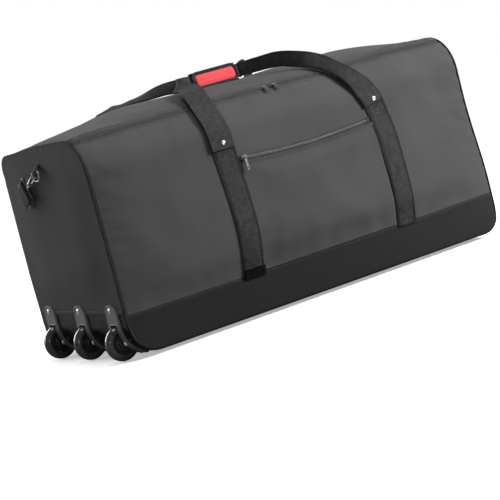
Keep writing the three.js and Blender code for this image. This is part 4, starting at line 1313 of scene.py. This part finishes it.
def make_housing(index, y):
    """A moulded plate bent over the corner, with a rimmed window and a black cup behind it."""
    window_low, window_high = window_span()
    outline = (arc((0, PLATE_HALF - 2), PLATE_HALF, 180, 360, 22)
               + arc((0, PLATE_RUN - PLATE_HALF + 2), PLATE_HALF, 0, 180, 22))
    window = rounded_box(-WINDOW_HALF, WINDOW_HALF, window_low, window_high, 3.5, 4)

    def bent(across, down, level):
        x, z, nx, nz = plate_station(max(down, 0))
        return vec(x + nx * level, y + across, z + nz * level)
    bent_plate(f"wheel_plate_{index}", window, bent, [f"wheel_housing_{index}"])
    rim = [bent(a, b, 4.1) for a, b in dense(window, 3)]
    tube(f"wheel_window_rim_{index}", rim, 1.3 * MM, "bag", "plate", 8, looped=True)
    border = [bent(a * 0.9, PLATE_RUN / 2 + (b - PLATE_RUN / 2) * 0.95, 4.0) for a, b in dense(outline, 4)]
    tube(f"wheel_plate_bead_{index}", border, 0.8 * MM, "bag", "plate", 8, looped=True)
    make_cup(index, y)
    for name, down in (("upper", PLATE_RIVET_INSET), ("lower", PLATE_RUN - PLATE_RIVET_INSET)):
        x, z, nx, nz = plate_station(down)
        centre, out = vec(x + nx * 4.3, y, z + nz * 4.3), Vector((nx, 0, nz))
        make_rivet(f"wheel_{name}_rivet_{index}", centre, out, PLATE_RIVET_RADIUS,
                   [f"{name}_rivet_{index}"])


def window_span():
    """Where the wheel's cavity meets the plate's line, as distances down it."""
    inside = [d for d in steps(0, PLATE_RUN, 400)
              if math.hypot(plate_station(d)[0] - WHEEL_X, plate_station(d)[1] - WHEEL_Z) < 38.4]
    return min(inside), min(max(inside), PLATE_RUN - 19)


def dense(loop, gap):
    """A closed outline with points added, about one gap apart."""
    path = []
    for (a0, b0), (a1, b1) in zip(loop, loop[1:] + loop[:1]):
        size = max(int(math.hypot(a1 - a0, b1 - b0) / gap), 1)
        path += [(a0 + (a1 - a0) * k / size, b0 + (b1 - b0) * k / size) for k in range(size)]
    return path


def bent_plate(name, window, bent, replaces):
    """The plate as rows across it, split at the window, thick enough for a raised edge."""
    verts, faces, uvs = [], [], []
    low_w, high_w = min(b for _, b in window), max(b for _, b in window)
    downs = steps(-1.9, low_w, 22) + steps(low_w, high_w, 30)[1:] + steps(high_w, PLATE_RUN + 1.9, 22)[1:]

    def half_at(down):
        edge = min(down + 2, PLATE_RUN + 2 - down)
        if edge >= PLATE_HALF:
            return PLATE_HALF
        return math.sqrt(max(PLATE_HALF ** 2 - (PLATE_HALF - edge) ** 2, 1))

    def strip(rows):
        first = len(verts)
        wide = len(rows[0])
        for row in rows:
            for across, down, level in row:
                verts.append(bent(across, down, level))
                uvs.append((across * MM, down * MM))
        faces.extend(grid_faces(len(rows), wide, offset=first, loop=True))
        faces.append([first + k for k in range(wide)][::-1])
        faces.append([first + (len(rows) - 1) * wide + k for k in range(wide)])

    def section(a0, a1, down, edge0, edge1):
        top = [(a0, down, PLATE_FACE - 1.2 * edge0), (a0 + 0.8, down, PLATE_FACE)]
        top += [(a, down, PLATE_FACE) for a in steps(a0, a1, 4)[1:-1]]
        top += [(a1 - 0.8, down, PLATE_FACE), (a1, down, PLATE_FACE - 1.2 * edge1)]
        return top + [(a1, down, 0.3), (a0, down, 0.3)]
    beside = [d for d in downs if low_w <= d <= high_w]
    strip([section(-half_at(d), half_at(d), d, True, True) for d in downs if d <= low_w])
    strip([section(-half_at(d), -WINDOW_HALF, d, True, False) for d in beside])
    strip([section(WINDOW_HALF, half_at(d), d, False, True) for d in beside])
    strip([section(-half_at(d), half_at(d), d, True, True) for d in downs if d >= high_w])
    made = piece(name, verts, faces, "bag", "plate", replaces, uvs)
    mend(made.data, weld=True)
    soften(made, 0.0005, 2, 35)


def make_cup(index, y):
    """The well that the wheel turns in: two flat cheeks and a round wall, open towards the corner."""
    inside = []
    for turn in steps(0, 2 * math.pi, 96):
        x, z = WHEEL_X + CUP_RADIUS * math.cos(turn), WHEEL_Z + CUP_RADIUS * math.sin(turn)
        inside.append((x, z, within_bag(x, z)))
    keep = [(x, z) for x, z, good in rotate_to_gap(inside) if good]
    outer, inner = [], []
    for x, z in keep:
        direction = Vector((x - WHEEL_X, 0, z - WHEEL_Z)).normalized()
        outer.append([vec(x + direction.x * 2, y + a, z + direction.z * 2) for a in (-CUP_HALF, CUP_HALF)])
        inner.append([vec(x, y + a, z) for a in (-CUP_HALF, CUP_HALF)])
    cloth(f"wheel_cup_wall_{index}", outer, inner, "bag", "cup")
    for sign in (-1, 1):
        loop = dense(keep, 4)
        plate(f"wheel_cup_cheek_{'front' if sign < 0 else 'back'}_{index}", loop, [], 1.6,
              lambda a, b, c, s=sign: vec(a, y + s * (CUP_HALF + 0.9) + c, b), "bag", "cup", bevel=0,
              smooth=False)


def within_bag(x, z):
    """Whether a point beside a wheel is inside the end face, the round corner and the base."""
    if x < CORNER_X and z < WHEEL_CORNER:
        return math.hypot(x - CORNER_X, z - WHEEL_CORNER) < WHEEL_CORNER - 0.2
    return x > -HALF_LENGTH + 0.2 and z > 0.2


def rotate_to_gap(points):
    """Starts a ring of points at its first good point after a bad one."""
    for i in range(len(points)):
        if points[i][2] and not points[i - 1][2]:
            return points[i:] + points[:i]
    return points


def make_wheel(index, y):
    """Tyre, hub with ribs, axle bolt and acorn nut; profiles are [radius, distance along the axle]."""
    centre, body, half = vec(WHEEL_X, y, WHEEL_Z), f"wheel_{index}", TYRE_HALF
    tread = []
    for turn in steps(0, 180, 28):
        t = math.radians(turn)
        tread.append([WHEEL_RADIUS - half + half * math.sin(t), -half * math.cos(t)])
    shoulder = [[23.4, half - 0.5], [22.0, half - 2.0], [21.4, half - 2.6], [21.4, 2.6 - half],
                [22.0, 2.0 - half], [23.4, 0.5 - half]]
    for point in tread:
        if abs(point[1]) < 0.6:
            point[0] -= 0.25
    lathe(f"wheel_tyre_{index}", tread + shoulder, centre, (0, 1, 0), body, "tyre", 96,
          [f"tyre_{index}"])
    hub = [[4.6, -half], [9, -half], [9.8, -half + 0.6], [10.4, -6.2], [11.5, -5.2], [17, -5.2], [18.4, -6],
           [19.6, -8], [20.9, -8]]
    hub += [[r, -h] for r, h in hub[::-1]]
    lathe(f"wheel_hub_{index}", hub, centre, (0, 1, 0), body, "hub", 64, [f"hub_{index}"])
    for k in range(6):
        turn = math.pi / 3 * k
        for sign in (-1, 1):
            spoke = [centre + Vector((math.cos(turn) * r, sign * h, math.sin(turn) * r)) * MM
                     for r, h in ((10.4, 6.6), (13, 6.2), (16, 6.2), (19, 7.2))]
            tube(f"wheel_rib_{index}_{k}_{'front' if sign < 0 else 'back'}", spoke, 1.1 * MM, body,
                 "hub", 8)
    bolt = [[0, -21.6], [3.2, -21.5], [5.0, -20.9], [6, -19.6], [6.1, -17.5], [3.9, -17.5], [3.9, 17],
            [0, 17]]
    lathe(f"wheel_axle_{index}", bolt, centre, (0, 1, 0), "bag", "steel", 32, [f"axle_{index}"])
    nut = [[0, 17.5], [6.5, 17.5], [6.5, 20.6], [5.8, 21], [5.0, 21.2], [4.3, 22.4], [2.6, 23.2], [0, 23.4]]
    lathe(f"wheel_axle_nut_{index}", nut, centre, (0, 1, 0), "bag", "steel", 36,
          [f"axle_nut_{index}"])


# ---- shoulder strap clip and pull handle ----
def clip_place(lean=True, hang=0.0):
    """Places (across, up, out) in millimetres about the D-ring, along the leaning clip if lean is set."""
    c, s = math.cos(CLIP_LEAN), math.sin(CLIP_LEAN)

    def place(across, up, out):
        up += hang
        y, z = (across * c - up * s, across * s + up * c) if lean else (across, up)
        return vec(CLIP_X - out, CLIP_Y + y, CLIP_Z + z)
    return place


def make_clip(stitches):
    """The D-ring and the folded webbing tab that holds it."""
    flat, radius = clip_place(False), D_RING_RADIUS
    bar = [flat(a, 1.5, 0) for a in steps(-radius, radius, 12)]
    bend = [flat(radius * math.cos(t), radius * math.sin(t), 0) for t in steps(0, -math.pi, 40)]
    tube("clip_d_ring", bend[::-1] + bar[::-1][1:-1], D_RING_WIRE * MM, "d_ring_body", "dark_metal", 12,
         looped=True, replaces=["d_ring"])
    loop = [(1.8, 15), (1.8, 9), (5.5, 3.5), (8.5, -2.4), (12.5, -2.4), (14.6, 2), (12, 7), (6.2, 10.5),
            (4.4, 12.5), (4.4, 15)]
    stations = [(vec(-HALF_LENGTH - out, CLIP_Y, CLIP_Z + up), Vector((0, 1, 0)), 15) for out, up in loop]
    strap_ribbon("clip_tab_webbing", stations, 1.5, "bag", "clip_webbing", ["clip_tab"], 5)
    for up in (12.4, 14.2):
        stitches.line(lambda t, up=up: (vec(-HALF_LENGTH - 5.2, CLIP_Y - 6.5 + t, CLIP_Z + up),
                                        Vector((-1, 0, 0))), 13, 1.6, 0.4, 0.3)
    make_hook()


def make_hook():
    """A snap hook: a cast C with a sprung gate, on a swivelling wide eye that holds the strap's end."""
    place = clip_place(True, -D_RING_RADIUS)
    spine = ([(-5.7, -3.5), (-5.7, 0)] + arc((0, 0), 5.7, 165, 0, 12) + [(5.7, -6), (5.8, -14), (5.6, -22)]
             + [(4.2, -29), (1.6, -33.5), (0, -37), (0, -41.6)])
    path = spline([place(0, b, -a) for a, b in spine], 4)

    def thick(i):
        return 0.8 + 0.35 * math.sin(math.pi * min(i / len(path), 1)) + (0.35 if i > len(path) * 0.8 else 0)
    tube("clip_hook_body", path, 1.85 * MM, "snap_hook_body", "dark_metal", 14, replaces=["snap_hook"],
         swell=thick)
    foot = [place(0, b, -a) for a, b in ((4, -26), (0, -26.6), (-4, -26.6), (-6.6, -25.2))]
    tube("clip_hook_gate_seat", spline(foot, 4), 1.7 * MM, "snap_hook_body", "dark_metal", 12)
    gate = [place(0, b, 6) for b in steps(-4.4, -24.2, 14)]
    tube("clip_hook_gate", gate, 1.5 * MM, "hook_gate_body", "steel", 14, replaces=["hook_gate"],
         swell=lambda i: 0.85 if i in (0, 14) else 1)
    for b in (-38.6, -40.6):
        ring = [place(2.9 * math.cos(t), b, 2.9 * math.sin(t)) for t in steps(0, 2 * math.pi, 20)[:-1]]
        tube(f"clip_swivel_ring_{int(-b)}", ring, 0.9 * MM, "snap_hook_body", "dark_metal", 8, looped=True)
    eye = [place(a, b, 0) for a, b in dense(rounded_box(-25.4, 25.4, -57.3, -44.1, 3.4, 5), 3)]
    tube("clip_strap_eye", eye, 1.9 * MM, "strap_eye_body", "clip_plastic", 12, looped=True,
         replaces=["strap_eye"])
    across = place(1, 0, 0) - place(0, 0, 0)
    half_stub = [(2.4, -88), (2.4, -66), (4.4, -60), (4.4, -55)]
    stub = half_stub + [(0, -50.6)] + [(-out, up) for out, up in half_stub[::-1]]
    stations = [(place(0, up, out), across, 44) for out, up in stub]
    strap_ribbon("clip_strap_end", stations, 1.9, "strap_stub_body", "clip_webbing", ["strap_stub"], 5)
    frame_out = rounded_box(-27, 27, -80, -66, 2.5, 4)
    frame_in = rounded_box(-23.5, 23.5, -76.6, -69.4, 1.2, 3)
    plate("clip_strap_slider", frame_out, [frame_in[::-1]], 2.6, place, "strap_slider_body", "clip_plastic",
          ["strap_slider"], 0.0006)


def make_pull_handle(stitches):
    """The webbing pull on the end away from the wheels, sewn down at both ends."""
    low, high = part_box("pull_handle")
    base = HALF_LENGTH + 1.2
    lift = high.x / MM - 2.0 - base
    z0, z1 = low.z / MM, high.z / MM
    middle = (z0 + z1) / 2
    y = (low.y + high.y) / 2 / MM
    half = (z1 - z0) / 2
    lower = [(-half + 1, 0), (-half + 14, 0), (-half + 32, 0), (-half * 0.42, lift * 0.55),
             (-half * 0.18, lift)]
    shape = lower + [(-b, out) for b, out in lower[::-1]]
    stations = [(vec(base + 1.2 + out, y, middle + b), Vector((0, 1, 0)), 40) for b, out in shape]
    strap_ribbon("end_pull_handle", stations, 2.6, "bag", "webbing", ["pull_handle"], 7)
    for centre in (middle - half + 14, middle + half - 14):
        for start, end in (((-15, -10), (15, 10)), ((-15, 10), (15, -10)), ((-15, -10), (15, -10)),
                           ((-15, 10), (15, 10)), ((-15, -10), (-15, 10)), ((15, -10), (15, 10))):
            stitches.between(lambda a, b, c=centre: (vec(base + 2.8, y + a, c + b), Vector((1, 0, 0))),
                             start, end)


# ---- everything together ----
def make_looks():
    return {
        "cloth": woven("polyester_grey", (0.061, 0.061, 0.062)),
        # The end panels wear a darker copy of the grey cloth: painted shade, set to the tone of the shaded
        # wheel end.
        "end_cloth": woven("polyester_end_painted_shade", (0.046, 0.046, 0.047)),
        "band": woven("polyester_black", (0.0128, 0.0128, 0.0134), rough=0.75, sheen=0.02),
        "patch": coated("coated_corner", (0.0032, 0.0048, 0.0075)),
        "webbing": webbed("webbing_black", (0.026, 0.026, 0.027)),
        "piping": woven("piping_black", (0.030, 0.030, 0.031), pitch=0.0007, sheen=0.02),
        "zip_tape": woven("zip_tape", (0.038, 0.038, 0.039), pitch=0.0006),
        # The pocket zip's coil: grey plastic, made paler to paint the highlight along it, so partly painted
        # highlight.
        "coil": moulded("zip_coil_painted_highlight", (0.27, 0.27, 0.275), 0.36, 900),
        # The main zip's coil is the same coil painted much darker: painted shade of the gap it sits in under
        # the cloth.
        "shaded_main_zip_coil": moulded("darkened_coil_painted_shade", (0.10, 0.10, 0.105), 0.4, 900),
        "plate": moulded("moulded_grey", (0.115, 0.115, 0.12), 0.46),
        "cup": moulded("moulded_black", (0.012, 0.012, 0.013), 0.5),
        "board": moulded("board_black", (0.01, 0.01, 0.01), 0.6),
        "steel": metallic("zinc_steel", (0.72, 0.73, 0.75)),
        "dark_metal": metallic("gunmetal", (0.3, 0.305, 0.31), 0.3, 0.12),
        "pull_metal": metallic("blackened_zinc", (0.19, 0.194, 0.2), 0.33, 0.2),
        "clip_plastic": moulded("clip_plastic", (0.013, 0.013, 0.014), 0.34),
        "clip_webbing": webbed("clip_webbing", (0.013, 0.013, 0.014)),
        # Near-black for the bound strap ends: a black binding, made darker still as painted shade.
        "bound_end_painted_shade": webbed("bound_end_painted_shade", (0.0022, 0.0022, 0.0024), 0.0017, 0, 0.08),
        "tyre": rubbery("tyre_black", (0.038, 0.038, 0.040)),
        "hub": moulded("hub_black", (0.026, 0.026, 0.028), 0.24),
        "red": woven("red_cloth", (0.80, 0.080, 0.095), pitch=0.0008, sheen=0.1),
        "thread": woven("thread_black", (0.010, 0.010, 0.011), pitch=0.0004),
    }


def build():
    LOOKS.update(make_looks())
    seams = Stitches("seam_stitching", "bag", "thread")
    handle_seams = Stitches("handle_stitching", None, "thread")
    flap_seams = Stitches("flap_stitching", "grip_flap_body", "thread")
    make_shell()
    make_bands()
    make_base()
    make_end("wheel_end_skin", "wheel_end_panel", -1, PATCH_TOP)
    make_end("handle_end_skin", "handle_end_panel", 1, PLAIN_BAND_TOP)
    make_piping()
    make_pocket()
    make_zips()
    for name in ("main_left", "main_right"):
        across, out = math.sin(ZIP_ANGLE), math.cos(ZIP_ANGLE)
        make_slider(name, (across, out), (-out, across))
        make_pull(name)
    make_slider("pocket", (0, 1), (-1, 0))
    make_pull("pocket")
    make_straps(seams)
    make_seams(seams)
    make_handles(handle_seams)
    make_grip(flap_seams)
    for index, y in enumerate(WHEEL_YS, 1):
        make_housing(index, y)
        make_wheel(index, y)
    make_clip(seams)
    make_pull_handle(seams)
    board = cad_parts["base_board"].data.materials
    board.clear()
    board.append(LOOKS["board"])
    for stitches in (seams, flap_seams):
        stitches.finish()


make_camera()
make_floor()
make_world()
make_lamps()
bpy.context.scene.view_settings.view_transform = "Standard"
build()
